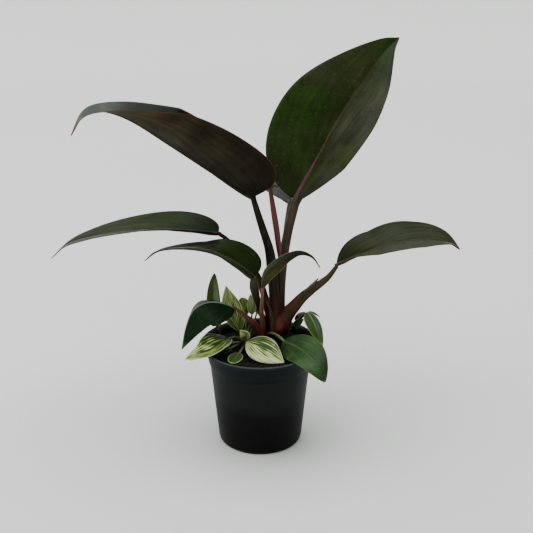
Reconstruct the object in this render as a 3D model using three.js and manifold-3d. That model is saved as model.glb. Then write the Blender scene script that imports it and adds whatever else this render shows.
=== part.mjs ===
// A potted red congo philodendron: four long leaves and a tall one on red stalks, a curled young leaf
// and its red sheath, small green shoots at the foot and a striped companion plant in the same pot.
// Millimetres, +Z up. The origin is the centre of the pot's underside, and the plant's front faces -Y.
import * as THREE from "three";
import { mergeVertices } from "three/addons/utils/BufferGeometryUtils.js";
import Module from "manifold-3d";

const POT_HEIGHT = 98;
const LIP_RADIUS = 55;
const BASE_RADIUS = 36.8;
const POT_WALL = 1.3;
const FLOOR = 1.6;
const FLOOR_RADIUS = 37.2;
const DRAIN_HOLES = 8;
const DRAIN_RADIUS = 3.2;
const DRAIN_CIRCLE = 28;
const SOIL_LEVEL = 90;
const SOIL_RADIUS = 47.9;
const STEM_DEPTH = 18;
const GAP = 0.35;
const BLADE_THICKNESS = 0.7;
const BLADE_EDGE = 0.6;
const BLADE_WAVES = 3;
const KEEL = 0.8;
const HEAP_HEIGHT = 97;
const HEAP_FOOT = 20;
const HEAP_LIMIT = 46.8;
const ABOVE_SOIL = 12;
const CROWN_START = 97.5;

// How many sides the round pieces have.
const POT_SIDES = 48;
const HEAP_SIDES = 24;
const HOLE_SIDES = 16;
const CROWN_SIDES = 12;
const FOOT_SIDES = 8;

// The outside of the pot's wall, radius and height: a straight taper, a small step and the rim band.
const WALL = [
  [39.6, 4.5],
  [46.8, 78.6],
  [47.9, 80],
  [50.4, 93.4],
];

const wasm = await Module();
wasm.setup();

const plant = new THREE.Group();

// A closed geometry as a solid, with its faces turned to point out.
function solidFrom(geometry) {
  const bare = geometry.clone();
  bare.deleteAttribute("normal");
  bare.deleteAttribute("uv");
  const merged = mergeVertices(bare, 1e-4);
  const corners = merged.attributes.position.array;
  const faces = new Uint32Array(merged.index.array);
  const make = (triVerts) =>
    new wasm.Manifold(new wasm.Mesh({ numProp: 3, vertProperties: corners, triVerts }));
  const solid = make(faces);
  return solid.volume() > 0 ? solid : make(faces.slice().reverse());
}

// Names a solid, colours it and puts it in the plant.
function addPiece(name, solid, { colour, roughness = 0.5, metalness = 0 }) {
  const { numProp, vertProperties, triVerts } = solid.getMesh();
  const geometry = new THREE.BufferGeometry();
  const corners = new Float32Array(vertProperties);
  geometry.setAttribute("position", new THREE.BufferAttribute(corners, numProp));
  geometry.setIndex(new THREE.BufferAttribute(new Uint32Array(triVerts), 1));
  const material = new THREE.MeshStandardMaterial({ color: colour, roughness, metalness });
  const mesh = new THREE.Mesh(geometry, material);
  mesh.name = name;
  plant.add(mesh);
}

const joined = (solids) => solids.reduce((all, one) => all.add(one));

// A body turned about the upright line through (x, y), from radius and height pairs.
function turned(profile, sides, [x, y] = [0, 0]) {
  const points = profile.map(([radius, height]) => new THREE.Vector2(radius, height));
  const geometry = new THREE.LatheGeometry(points, sides);
  geometry.rotateX(Math.PI / 2);
  geometry.translate(x, y, 0);
  return solidFrom(geometry);
}

// An upright rod with flat ends.
const rod = (at, radius, low, high, sides) =>
  turned([[0, low], [radius, low], [radius, high], [0, high]], sides, at);

function closedGeometry(corners, faces) {
  const geometry = new THREE.BufferGeometry();
  const positions = new Float32Array(corners.flatMap((corner) => corner.toArray()));
  geometry.setAttribute("position", new THREE.BufferAttribute(positions, 3));
  geometry.setIndex(faces);
  return geometry;
}

// A smooth route through its points.
const routeThrough = (points) =>
  new THREE.CatmullRomCurve3(
    points.map((point) => new THREE.Vector3(...point)),
    false,
    "catmullrom",
    0.5,
  );

// The value at a fraction of the way along a list whose entries stand at equal steps.
function alongList(list, fraction) {
  if (typeof list === "number") return list;
  const place = Math.min(Math.max(fraction, 0), 1) * (list.length - 1);
  const before = Math.min(Math.floor(place), list.length - 2);
  return THREE.MathUtils.lerp(list[before], list[before + 1], place - before);
}

// A stalk: rings square to the route, their radius running through the list, closed by flat ends.
function stalk({ points, radii, sides = 10, step = 14, grow = 0 }) {
  const route = routeThrough(points);
  const rings = Math.max(3, Math.round(route.getLength() / step));
  const frames = route.computeFrenetFrames(rings, false);
  const corners = [];
  for (let i = 0; i <= rings; i++) {
    const centre = route.getPointAt(i / rings);
    const radius = alongList(radii, i / rings) + grow;
    for (let j = 0; j < sides; j++) {
      const angle = (2 * Math.PI * j) / sides;
      corners.push(
        centre
          .clone()
          .addScaledVector(frames.normals[i], radius * Math.cos(angle))
          .addScaledVector(frames.binormals[i], radius * Math.sin(angle)),
      );
    }
  }
  const faces = [];
  for (let i = 0; i < rings; i++) {
    for (let j = 0; j < sides; j++) {
      const a = i * sides + j;
      const b = i * sides + ((j + 1) % sides);
      faces.push(a, b, b + sides, a, b + sides, a + sides);
    }
  }
  for (let j = 1; j < sides - 1; j++) {
    const last = rings * sides;
    faces.push(0, j + 1, j, last, last + j, last + j + 1);
  }
  return solidFrom(closedGeometry(corners, faces));
}

// One half of a blade is bent on an arc: fold is its angle at the midrib, curl the turn out to its margin.
function bend(fold, curl, out, width) {
  const start = THREE.MathUtils.degToRad(fold);
  const turn = THREE.MathUtils.degToRad(Math.abs(curl) < 0.1 ? 0.1 : curl);
  const end = start + turn * out;
  return {
    across: ((Math.sin(end) - Math.sin(start)) / turn) * width,
    up: ((Math.cos(start) - Math.cos(end)) / turn) * width,
  };
}

// A blade's middle surface, rows from base to tip and columns from left margin to right margin.
// Its half width is (s/m)^a ((1-s)/(1-m))^b of the widest, with m the place of the widest part.
function bladeGrid(leaf) {
  const { spine, face, half, fold, curl } = leaf;
  const { rows = 16, columns = 4, widest = 0.37, tip = 1.1, lobe = 0, wave = 0 } = leaf;
  const route = routeThrough(spine);
  const faceEnds = face.map((direction) => new THREE.Vector3(...direction));
  const swell = (tip * widest) / (1 - widest);
  const sideOf = (value, side) => (Array.isArray(value) ? value[side] : value);
  return Array.from({ length: rows }, (_, i) => {
    const even = i / (rows - 1);
    const s = 0.25 * (1 - Math.cos(Math.PI * even)) + 0.5 * even;
    const centre = route.getPointAt(s);
    const tangent = route.getTangentAt(s);
    const up = faceEnds[0].clone().lerp(faceEnds[1], s);
    up.addScaledVector(tangent, -up.dot(tangent)).normalize();
    const right = tangent.clone().cross(up);
    const shape = (s / widest) ** swell * ((1 - s) / (1 - widest)) ** tip;
    return Array.from({ length: 2 * columns + 1 }, (_, j) => {
      const t = j / columns - 1;
      const side = t > 0 ? 1 : 0;
      const out = Math.abs(t);
      const width = shape * sideOf(half, side) + BLADE_EDGE;
      const bent = bend(alongList(sideOf(fold, side), s), alongList(sideOf(curl, side), s), out, width);
      const phase = 2 * Math.PI * BLADE_WAVES * s + 1.5 * Math.sign(t);
      const ripple = wave * out ** 2 * Math.sin(phase) * Math.min(1, 6 * (1 - s));
      return centre
        .clone()
        .addScaledVector(right, bent.across * Math.sign(t))
        .addScaledVector(up, bent.up + ripple)
        .addScaledVector(tangent, -lobe * out ** 1.5 * shape * (1 - s) ** 4);
    });
  });
}

// A blade: its middle surface given a thickness, with a keel for the midrib below and a closed margin.
function blade(leaf) {
  const grid = bladeGrid(leaf);
  const rows = grid.length;
  const across = grid[0].length;
  const middle = (across - 1) / 2;
  const at = (i, j) =>
    grid[THREE.MathUtils.clamp(i, 0, rows - 1)][THREE.MathUtils.clamp(j, 0, across - 1)];
  const top = [];
  const under = [];
  for (let i = 0; i < rows; i++) {
    for (let j = 0; j < across; j++) {
      const along = at(i + 1, j).clone().sub(at(i - 1, j));
      const over = at(i, j + 1).clone().sub(at(i, j - 1));
      const normal = over.cross(along).normalize();
      const keel = j === middle ? KEEL * (1 - i / (rows - 1)) : 0;
      top.push(at(i, j).clone().addScaledVector(normal, BLADE_THICKNESS / 2));
      under.push(at(i, j).clone().addScaledVector(normal, -BLADE_THICKNESS / 2 - keel));
    }
  }
  const below = rows * across;
  const faces = [];
  for (let i = 0; i < rows - 1; i++) {
    for (let j = 0; j < across - 1; j++) {
      const a = i * across + j;
      const [b, c, d] = [a + 1, a + across + 1, a + across];
      faces.push(a, b, c, a, c, d);
      faces.push(below + a, below + c, below + b, below + a, below + d, below + c);
    }
  }
  const edge = [];
  for (let j = 0; j < across - 1; j++) edge.push(j);
  for (let i = 0; i < rows - 1; i++) edge.push(i * across + across - 1);
  for (let j = across - 1; j > 0; j--) edge.push((rows - 1) * across + j);
  for (let i = rows - 1; i > 0; i--) edge.push(i * across);
  edge.forEach((p, n) => {
    const q = edge[(n + 1) % edge.length];
    faces.push(q, p, below + p, q, below + p, below + q);
  });
  return solidFrom(closedGeometry([...top, ...under], faces));
}

const UP = [[0, 0, 1], [0, 0, 1]];

const BLACK_PLASTIC = { colour: 0x2b2d2e, roughness: 0.5 };
const PEAT = { colour: 0x1b1612, roughness: 0.95 };
const RED_BROWN = { colour: 0x57332c, roughness: 0.4 };
const SHEATH_RED = { colour: 0x83404a, roughness: 0.35 };
const DARK_GREEN = { colour: 0x2b3a1a, roughness: 0.35 };
const BROWN_GREEN = { colour: 0x3b2b1f, roughness: 0.35 };
const GREY_GREEN = { colour: 0x4a5643, roughness: 0.35 };
const MID_GREEN = { colour: 0x2f4f26, roughness: 0.4 };
const LIGHT_GREEN = { colour: 0x55702f, roughness: 0.45 };
const SHOOT_BROWN = { colour: 0x74433a, roughness: 0.5 };
const PALE_STALK = { colour: 0xaab478, roughness: 0.5 };
const STRIPED = { colour: 0xa9b578, roughness: 0.5 };

// Each foot stands in a plain hole in the soil.
const FEET = {
  crown: { at: [17, 25], radius: 8.5 },
  offset: { at: [3, 20], radius: 2.8 },
  paleStalk: { at: [7, 16.5], radius: 1.5 },
  sideShoot: { at: [29.4, 30.6], radius: 1.8 },
  backShoot: { at: [-37, 21], radius: 1.6 },
  striped: { at: [-16, 10], radius: 2.6 },
};

function pot() {
  const lip = [
    [53.4, 94.6],
    [LIP_RADIUS - 0.2, 95.8],
    [LIP_RADIUS, POT_HEIGHT - 0.9],
    [LIP_RADIUS - 0.6, POT_HEIGHT],
    [LIP_RADIUS - 1.8, POT_HEIGHT],
    [50.6, 95.8],
  ];
  const inside = WALL.map(([radius, height]) => [radius - POT_WALL, height]).reverse();
  const shell = turned(
    [
      [0, 0],
      [BASE_RADIUS, 0],
      [BASE_RADIUS + 1.9, 1.3],
      ...WALL,
      ...lip,
      ...inside,
      [FLOOR_RADIUS, FLOOR],
      [0, FLOOR],
    ],
    POT_SIDES,
  );
  const holes = Array.from({ length: DRAIN_HOLES }, (_, i) => {
    const angle = (2 * Math.PI * (i + 0.5)) / DRAIN_HOLES;
    const at = [DRAIN_CIRCLE * Math.cos(angle), DRAIN_CIRCLE * Math.sin(angle)];
    return rod(at, DRAIN_RADIUS, -1, FLOOR + 1, HOLE_SIDES);
  });
  return holes.reduce((left, hole) => left.subtract(hole), shell);
}

function soil() {
  const side = WALL.filter(([, height]) => height < SOIL_LEVEL).map(([radius, height]) => [
    radius - POT_WALL - GAP,
    height,
  ]);
  const body = turned(
    [
      [0, FLOOR + GAP],
      [FLOOR_RADIUS - 2 * GAP, FLOOR + GAP],
      ...side,
      [SOIL_RADIUS, SOIL_LEVEL - 0.8],
      [SOIL_RADIUS - 6, SOIL_LEVEL + 0.2],
      [0, SOIL_LEVEL + 0.6],
    ],
    POT_SIDES,
  );
  // The soil is heaped about the crown's foot, and the heap ends short of the wall.
  const heap = turned(
    [
      [0, SOIL_LEVEL - 3],
      [HEAP_FOOT, SOIL_LEVEL - 3],
      [HEAP_FOOT - 1, SOIL_LEVEL],
      [HEAP_FOOT - 5, SOIL_LEVEL + 3.6],
      [HEAP_FOOT - 8.5, HEAP_HEIGHT - 0.6],
      [0, HEAP_HEIGHT],
    ],
    HEAP_SIDES,
    FEET.crown.at,
  ).intersect(rod([0, 0], HEAP_LIMIT, 0, POT_HEIGHT, POT_SIDES));
  const bottom = SOIL_LEVEL - STEM_DEPTH - GAP;
  return Object.values(FEET).reduce(
    (left, { at, radius }) =>
      left.subtract(rod(at, radius + GAP, bottom, SOIL_LEVEL + ABOVE_SOIL, HOLE_SIDES)),
    body.add(heap),
  );
}

const footOf = ({ at, radius }, top, sides) => rod(at, radius, SOIL_LEVEL - STEM_DEPTH, top, sides);

// The main stem's stalks, fused where they clasp each other in the crown.
const CROWN_STALKS = [
  // To the upright leaf.
  {
    points: [[17.5, 26, 97], [18, 26, 122], [19.5, 27, 149], [22, 29, 172], [25.8, 31, 195], [29.5, 33, 211],
      [33, 35.6, 224]],
    radii: [7.4, 5.8, 5, 4.6, 4.4, 4.3, 4.2],
    sides: 12,
  },
  // To the upper left leaf.
  {
    points: [[15, 21, 100], [13.5, 20, 132], [11, 18.5, 166], [8.5, 17, 184], [4, 15.4, 200],
      [-1, 13.7, 217], [-5.8, 12.2, 234.3]],
    radii: [7, 5, 4.8, 5, 3.9, 3.3, 2.5],
    sides: 12,
  },
  // To the rear leaf.
  {
    points: [[18, 30, 98.6], [20.5, 31, 130], [22.2, 33, 170], [24.6, 36, 199], [27.6, 39.4, 219.4]],
    radii: [4.5, 2.8, 2.7, 2.4, 2.4],
    sides: 8,
  },
  // To the mid left leaf.
  {
    points: [[11, 30, 99.6], [8, 31, 115], [3, 33, 135], [-2, 38, 148], [-14, 44, 165], [-30, 48, 181],
      [-38.4, 48, 187.7]],
    radii: [4, 4, 3.5, 3, 2.5, 2, 2],
    sides: 8,
  },
  // To the low left leaf.
  {
    points: [[9, 23, 99.6], [4, 23.6, 108.6], [0, 21.4, 121.2], [-2.4, 18.2, 131.7], [-4.6, 15.2, 142.1],
      [-5.8, 13, 151], [-5.6, 12.3, 155.8]],
    radii: [3.8, 2.9, 2.5, 2.7, 3.5, 4.3, 3.2],
    sides: 8,
  },
  // To the right leaf.
  {
    points: [[19.8, 24, 103.4], [22.7, 24, 109.5], [27.4, 23, 118.2], [31.6, 22, 123.8], [40.1, 21, 134.5],
      [49.1, 19.5, 143], [57.5, 18, 150.4], [64, 17, 156.9], [69.9, 16, 166]],
    radii: [7, 7, 6.3, 5.3, 4.6, 3.9, 3.3, 2.5, 1.9],
    sides: 12,
    step: 9,
  },
  // The end of that stalk's wing stands off it.
  {
    points: [[42, 19.6, 140.4], [49, 18, 148.4], [54.3, 17.6, 154.8]],
    radii: [1.6, 1.5, 0.6],
    sides: 6,
    step: 6,
  },
  // The swollen base of the right leaf's stalk.
  {
    points: [[18.4, 25, 101.6], [19.6, 24.4, 105.4], [21.6, 24, 110], [24.6, 23.6, 116.5]],
    radii: [9.5, 10.2, 8.8, 5.6],
    sides: 12,
    step: 6,
  },
  // A node swells at the crown's front.
  {
    points: [[17.6, 20, 99], [18.2, 17.8, 105.6], [17.8, 18.2, 112.6], [17, 20, 119]],
    radii: [4.4, 5.2, 4.2, 2],
    sides: 10,
    step: 5,
  },
  // An old sheath's dry strip lies along the crown.
  {
    points: [[12.2, 16.4, 99], [11.8, 15.2, 111], [10.4, 14.4, 121], [7.4, 14.6, 131], [4.4, 15.4, 137]],
    radii: [2.2, 2, 1.7, 1.3, 0.7],
    sides: 6,
    step: 8,
  },
];

const RED_SHEATH = {
  points: [[19.4, 27, 164], [18.4, 24.4, 174], [17, 21.4, 187], [15.6, 18.8, 200], [13.6, 16.8, 214],
    [11, 14.6, 231.6], [9.8, 13.2, 239.8], [10.5, 12.2, 244.6], [13.3, 11.4, 246.7], [16.5, 10.8, 245.2]],
  radii: [1.4, 2, 2.5, 2.8, 2.8, 2.8, 2.6, 2.2, 1.6, 0.7],
  sides: 8,
  step: 6,
};

function crown() {
  const foot = turned(
    [[0, CROWN_START], [FEET.crown.radius, CROWN_START], [9.8, 100], [9, 105], [6, 111], [0, 112]],
    CROWN_SIDES,
    FEET.crown.at,
  );
  const rooted = footOf(FEET.crown, CROWN_START + 0.5, CROWN_SIDES);
  const stem = joined([rooted, foot, ...CROWN_STALKS.map(stalk)]);
  return stem.subtract(stalk({ ...RED_SHEATH, grow: GAP }));
}

const OFFSET_STALKS = [
  // To the centre leaf.
  {
    points: [[3.2, 20, 94], [2.8, 17.4, 107], [1.6, 13.8, 119.6], [1.6, 10.6, 130.4], [2.1, 8.2, 140.4],
      [2.3, 6.4, 147.8]],
    radii: [2.6, 2.8, 2.6, 1.9, 1.6, 1.6],
    sides: 8,
    step: 8,
  },
  // To the small left leaf.
  {
    points: [[2.8, 20, 94], [-1.4, 19.8, 102], [-8.1, 18, 110.7], [-11.8, 17, 114.9], [-16, 15.5, 119.5],
      [-23.5, 12.3, 126.9]],
    radii: [2.6, 3.1, 2.9, 2.4, 1.6, 1.2],
    sides: 8,
    step: 6,
  },
  // A short stub where an older leaf has been shed.
  {
    points: [[2.2, 14, 116.4], [0, 13, 119.4], [-1.8, 12.6, 122.8], [-3.3, 12.4, 126.4]],
    radii: [1.6, 1.3, 1, 0.7],
    sides: 6,
    step: 4,
  },
];

const PALE_LEAF_STALK = {
  points: [[7, 16.5, 90], [7.1, 16.2, 97], [9.8, 12.4, 101], [15.6, 8.4, 101], [21.8, 4.2, 97.5]],
  radii: [1.2, 1.5, 1.6, 1.4, 1.1],
  sides: 7,
  step: 5,
};

const SIDE_SHOOT_STALKS = [
  {
    points: [[29.4, 30.6, 95], [32.6, 31.2, 102], [38.6, 30, 109], [44.6, 27, 115]],
    radii: [1.4, 1.6, 1.4, 1.1],
    sides: 7,
    step: 8,
  },
  {
    points: [[29.4, 30.2, 95.4], [31.6, 28, 100], [31.9, 25, 102.6]],
    radii: [1.2, 1.2, 1],
    sides: 6,
    step: 4,
  },
  {
    points: [[29.4, 31, 95.4], [31.8, 33.6, 99.4], [34.6, 34.4, 102.3]],
    radii: [1.2, 1.2, 1],
    sides: 6,
    step: 4,
  },
];

const BACK_SHOOT_STALK = {
  points: [[-37, 21, 91], [-37.4, 21.4, 96], [-39, 22.6, 100.6]],
  radii: [1.2, 1.4, 1.2],
  sides: 7,
  step: 4,
};

// The striped plant's stalks leave its short stem one by one.
const STRIPED_STALKS = [
  [[-16, 10, 92], [-22, 8, 99], [-28.6, 3.6, 100]],
  [[-16, 9, 92], [-20, 4, 95.5], [-27.6, 0.4, 97]],
  [[-14, 9, 92], [-8, 1, 97], [-11.4, -7.2, 101.2]],
  [[-16, 11, 92], [-18.4, 17.5, 96.5], [-19, 20.7, 99.6]],
  [[-15, 11, 92], [-13.6, 20, 100], [-13.2, 25.6, 106], [-13, 26.4, 110.4]],
  [[-14.4, 10.6, 92], [-11, 20.6, 101], [-8.4, 25.4, 109], [-7.8, 24.6, 114]],
  [[-14, 10, 92], [-7.4, 23, 101], [-3.4, 27.4, 114.6]],
  [[-16, 9, 92], [-17, 5, 97], [-15.3, 2.8, 99.7]],
  [[-15, 8, 92], [-16, -3, 93.6], [-18.8, -13.1, 93]],
  [[-17, 9, 92], [-21, 3, 93.4], [-26.9, -1.8, 92.8]],
].map((points) => ({ points, radii: [1.5, 1.1, 0.9], sides: 6, step: 10 }));

// A plant's stalks joined to the foot that stands in the soil.
const shoot = (foot, top, stalks) => joined([footOf(foot, top, FOOT_SIDES), ...stalks.map(stalk)]);

// The leaves. A spine is the midrib's route from base to tip, and face the side that the blade turns up,
// at base and at tip. Folds and curls are degrees, left half and right half, and lists run base to tip.
const LEAVES = {
  upright_leaf: {
    spine: [[34, 36, 225], [52, 47, 260], [73, 60, 297], [98, 72, 332], [115, 78, 355], [127, 80, 366]],
    face: [[-0.35, -0.85, 0.3], [-0.35, -0.85, 0.3]],
    half: [55, 51], fold: [16, [65, 45, 38, 32, 32]], curl: [-10, -10],
    widest: 0.38, tip: 1.04, lobe: 9, wave: 0.6, rows: 20, columns: 6, finish: DARK_GREEN,
  },
  upper_left_leaf: {
    spine: [[-6, 12, 235], [-37, 4, 258], [-73, -4, 285], [-110, -10, 311], [-136, -13, 320],
      [-151, -15, 316], [-160, -16, 299]],
    face: [[0.4, 0.3, 0.9], [-0.3, 0, 0.95]],
    half: 45, fold: [[45, 41, 46, 14, -35], [40, 36, 50, 20, -5]],
    curl: [[30, 25, 10, 0, 0], [30, 28, 12, 4, 0]],
    widest: 0.27, lobe: 22, rows: 20, columns: 6, finish: BROWN_GREEN,
  },
  rear_leaf: {
    spine: [[27, 40, 222], [9, 58, 230], [-10, 76, 238], [-31, 92, 244], [-51, 104, 250], [-68, 112, 254]],
    face: UP, half: 26, fold: [30, 18], curl: [-16, -16], wave: 0.6, finish: GREY_GREEN,
  },
  mid_left_leaf: {
    spine: [[-39, 48, 188], [-82, 54, 190], [-127, 60, 186], [-162, 65, 179], [-186, 69, 170],
      [-204, 72, 154]],
    face: UP, half: 32, fold: [[30, 26, 18, 2], [25, 22, 18, 13]], curl: [-16, -16],
    widest: 0.3, tip: 1.2, rows: 18, finish: GREY_GREEN,
  },
  low_left_leaf: {
    spine: [[-6, 12, 157], [-23, 17, 168], [-43, 23, 177], [-68, 30, 179], [-94, 36, 175], [-109, 39, 164]],
    face: UP, half: [29, 24], fold: [[45, 40, 34, 28, 22], [62, 42, 14, 8, 6]], curl: [-16, -16],
    widest: 0.25, tip: 1.4, lobe: 4, finish: MID_GREEN,
  },
  right_leaf: {
    spine: [[71, 16, 169], [91, 18, 178], [117, 20, 187], [142, 22, 191], [170, 23, 189], [185, 24, 181]],
    face: UP, half: [36, 34], fold: [[46, 19, 19, 28], [38, 18, 16, 24]], curl: [-16, -16],
    widest: 0.52, tip: 0.84, lobe: 10, rows: 18, finish: GREY_GREEN,
  },
  centre_leaf: {
    spine: [[2, 5, 150], [6, 0, 166], [14, -5, 177], [24, -8, 186], [36, -10, 191], [47, -11, 187],
      [54, -12, 177]],
    face: [[-0.7, -0.75, 0.2], [0.2, -0.9, 0.5]],
    half: [3.5, 7.5], fold: [10, 10], curl: [-10, -10], widest: 0.3, tip: 2.2, rows: 16, columns: 3,
    finish: LIGHT_GREEN,
  },
  small_left_leaf: {
    spine: [[-24, 12, 127.3], [-32.4, 8, 133.2], [-42.4, 3.6, 137], [-52.6, -1.6, 137.4], [-61.8, -7, 132],
      [-68, -11, 117.5], [-72, -14, 97]],
    face: [[0, 0, 1], [-0.6, -0.75, 0.3]],
    half: [24.5, 19], fold: [-22, [-8, -20, -50, -60]], curl: [-14, -14], lobe: 2, rows: 14, finish: MID_GREEN,
  },
  round_leaf: {
    spine: [[22, 4, 97], [35, -18, 101], [46, -44, 103], [53, -54, 96], [58, -58, 86]],
    face: [[-0.4, -0.35, 0.8], [0.4, -0.8, 0.35]],
    half: 16.2, fold: [8, 8], curl: [-10, -10], widest: 0.47, tip: 0.88, lobe: 2, rows: 14,
    finish: MID_GREEN,
  },
  right_small_leaf: {
    spine: [[45.5, 26, 115.4], [49.2, 18, 112.4], [53.8, 4, 105.2], [58.2, -4, 95.4]],
    face: [[0.2, -0.3, 1], [0.5, -0.5, 0.5]],
    half: [6, 9.5], fold: [14, 12], curl: [-10, -10], widest: 0.42, tip: 0.9, lobe: 2, rows: 12, columns: 3,
    finish: LIGHT_GREEN,
  },
  right_back_leaf: {
    spine: [[45.6, 28.8, 114.8], [50.5, 30.4, 113.4], [57.2, 31, 109.8]],
    face: UP, half: 3, fold: [10, 10], curl: [0, 0], rows: 8, columns: 2, finish: GREY_GREEN,
  },
  right_low_leaf: {
    spine: [[32.3, 24.1, 103.2], [37, 21.4, 108.4], [41, 19.6, 112.2]],
    face: [[-0.2, -0.7, 0.6], [-0.1, -0.6, 0.7]],
    half: [3, 4.4], fold: [10, 10], curl: [0, 0], tip: 0.9, rows: 9, columns: 2, finish: GREY_GREEN,
  },
  right_dark_leaf: {
    spine: [[35, 34.8, 102.8], [37.6, 35.4, 107.6], [43.4, 36, 112]],
    face: [[-0.3, -0.7, 0.6], [-0.1, -0.6, 0.7]],
    half: 3, fold: [10, 10], curl: [0, 0], tip: 0.8, rows: 8, columns: 2, finish: DARK_GREEN,
  },
  back_left_leaf: {
    spine: [[-39.2, 23, 101.6], [-42, 26, 114], [-44, 29, 128], [-44, 32, 141], [-43, 34, 153]],
    face: [[0, -1, 0.2], [0, -1, 0.2]],
    half: 6.4, fold: [20, 20], curl: [0, 0], widest: 0.45, tip: 0.8, rows: 12, columns: 2, finish: MID_GREEN,
  },
  striped_leaf_1: {
    spine: [[-29, 3, 100], [-36, -15, 103], [-48, -34, 103], [-66, -45, 102]],
    face: [[0, -0.2, 1], [0, -0.4, 0.9]],
    half: [7, 16], fold: [10, 22], curl: [-10, -10], tip: 0.95, lobe: 2, rows: 12, columns: 3,
    finish: STRIPED,
  },
  striped_leaf_2: {
    spine: [[-12, -8, 102], [-3, -15, 101], [9, -24, 97], [22, -31, 92]],
    face: [[0, -0.5, 0.85], [0, -0.5, 0.85]],
    half: [14, 13], fold: [5, 5], curl: [-10, -10], widest: 0.42, lobe: 1, rows: 12, columns: 3,
    finish: STRIPED,
  },
  striped_leaf_3: {
    spine: [[-19, 21, 100], [-24, 23, 115], [-29, 25, 130], [-32, 27, 143]],
    face: [[0, -1, 0.2], [0, -1, 0.2]],
    half: 9.5, fold: [10, 10], curl: [0, 0], widest: 0.42, lobe: 1, rows: 12, columns: 3, finish: STRIPED,
  },
  striped_leaf_4: {
    spine: [[-13.2, 27, 111.3], [-14.2, 29, 117.7], [-15.8, 31, 124], [-18.4, 32, 129]],
    face: [[0, -1, 0.2], [0, -1, 0.2]],
    half: 5.2, fold: [10, 10], curl: [0, 0], widest: 0.62, tip: 0.7, rows: 10, columns: 2, finish: STRIPED,
  },
  striped_leaf_5: {
    spine: [[-7.7, 24.8, 114.8], [-8, 27, 123.9], [-9.2, 30, 133.4]],
    face: [[0, -1, 0.2], [0, -1, 0.2]],
    half: 4, fold: [10, 10], curl: [0, 0], widest: 0.4, rows: 8, columns: 2, finish: STRIPED,
  },
  striped_leaf_6: {
    spine: [[-3.2, 28, 115.3], [-2.8, 30, 123], [-5.2, 33, 129.6]],
    face: [[0.6, -0.8, 0.2], [0.6, -0.8, 0.2]],
    half: 2.8, fold: [10, 10], curl: [0, 0], rows: 8, columns: 2, finish: STRIPED,
  },
  striped_leaf_7: {
    spine: [[-28, 0, 97], [-39, -14, 100], [-50, -29, 100], [-62, -40, 99]],
    face: [[0, -0.2, 1], [0, -0.4, 0.9]],
    half: [5, 8], fold: [0, 10], curl: [-10, -10], lobe: 1, rows: 10, columns: 2, finish: STRIPED,
  },
  young_leaf: {
    spine: [[-15, 2.6, 100.5], [-14, 0, 105], [-18, -2, 111]],
    face: [[0, -1, 0.3], [0, -1, 0.3]],
    half: 4.5, fold: [20, 20], curl: [0, 0], rows: 8, columns: 2, finish: LIGHT_GREEN,
  },
  round_soil_leaf: {
    spine: [[-19, -13.7, 93.2], [-22.4, -23, 92.6], [-26, -32, 91.6]],
    face: [[0, -0.2, 1], [0, -0.2, 1]],
    half: 6, fold: [5, 5], curl: [-10, -10], widest: 0.5, tip: 0.6, rows: 8, columns: 2,
    finish: LIGHT_GREEN,
  },
  shaded_leaf: {
    spine: [[-27.5, -2.2, 93.1], [-33.4, -10, 93.8], [-40, -18, 92.4]],
    face: [[0, -0.3, 1], [0, -0.4, 1]],
    half: 4.6, fold: [8, 8], curl: [0, 0], rows: 9, columns: 2, finish: MID_GREEN,
  },
};

addPiece("pot", pot(), BLACK_PLASTIC);
addPiece("soil", soil(), PEAT);
addPiece("crown_and_stalks", crown(), RED_BROWN);
addPiece("red_sheath", stalk(RED_SHEATH), SHEATH_RED);
addPiece("offset_stems", shoot(FEET.offset, 97, OFFSET_STALKS), SHOOT_BROWN);
addPiece("pale_stalk", shoot(FEET.paleStalk, 93, [PALE_LEAF_STALK]), PALE_STALK);
addPiece("side_shoot_stem", shoot(FEET.sideShoot, 97, SIDE_SHOOT_STALKS), SHOOT_BROWN);
addPiece("back_shoot_stem", shoot(FEET.backShoot, 92, [BACK_SHOOT_STALK]), SHOOT_BROWN);
addPiece("striped_stems", shoot(FEET.striped, 94, STRIPED_STALKS), PALE_STALK);
for (const [name, leaf] of Object.entries(LEAVES)) {
  addPiece(name, blade(leaf), leaf.finish);
}

export default plant;
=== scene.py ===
"""A potted red congo philodendron in a black nursery pot, with a small striped companion at its foot.

The leaves, stalks, pot and soil repeat the routes and sizes of the solids, in millimetres, as finer surfaces
with midribs, veins and coloured margins. +Z is up, and the plant's front faces -Y.
"""

import math
from functools import partial

import bmesh
import bpy
import numpy as np
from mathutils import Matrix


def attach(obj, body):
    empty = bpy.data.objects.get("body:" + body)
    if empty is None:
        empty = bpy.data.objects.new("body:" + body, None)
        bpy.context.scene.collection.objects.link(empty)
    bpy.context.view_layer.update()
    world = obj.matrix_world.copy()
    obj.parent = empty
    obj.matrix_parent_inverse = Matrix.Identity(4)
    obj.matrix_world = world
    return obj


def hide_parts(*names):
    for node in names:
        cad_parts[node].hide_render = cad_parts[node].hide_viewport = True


MM = 0.001

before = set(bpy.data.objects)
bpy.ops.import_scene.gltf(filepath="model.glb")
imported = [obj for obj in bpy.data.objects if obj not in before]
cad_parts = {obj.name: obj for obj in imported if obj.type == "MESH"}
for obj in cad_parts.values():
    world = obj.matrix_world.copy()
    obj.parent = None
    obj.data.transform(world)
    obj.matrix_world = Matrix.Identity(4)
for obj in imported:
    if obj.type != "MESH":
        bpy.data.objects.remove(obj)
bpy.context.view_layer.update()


# Colour and materials

# A Mix of colours gives them at its third output. An eased Map Range leaves and reaches its ends gently.
COLOURS = {"out": 2, "data_type": "RGBA"}
EASED = {"interpolation_type": "SMOOTHSTEP"}

# The wax on a living leaf or stalk bends light by this much.
WAX_IOR = 1.45

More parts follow.
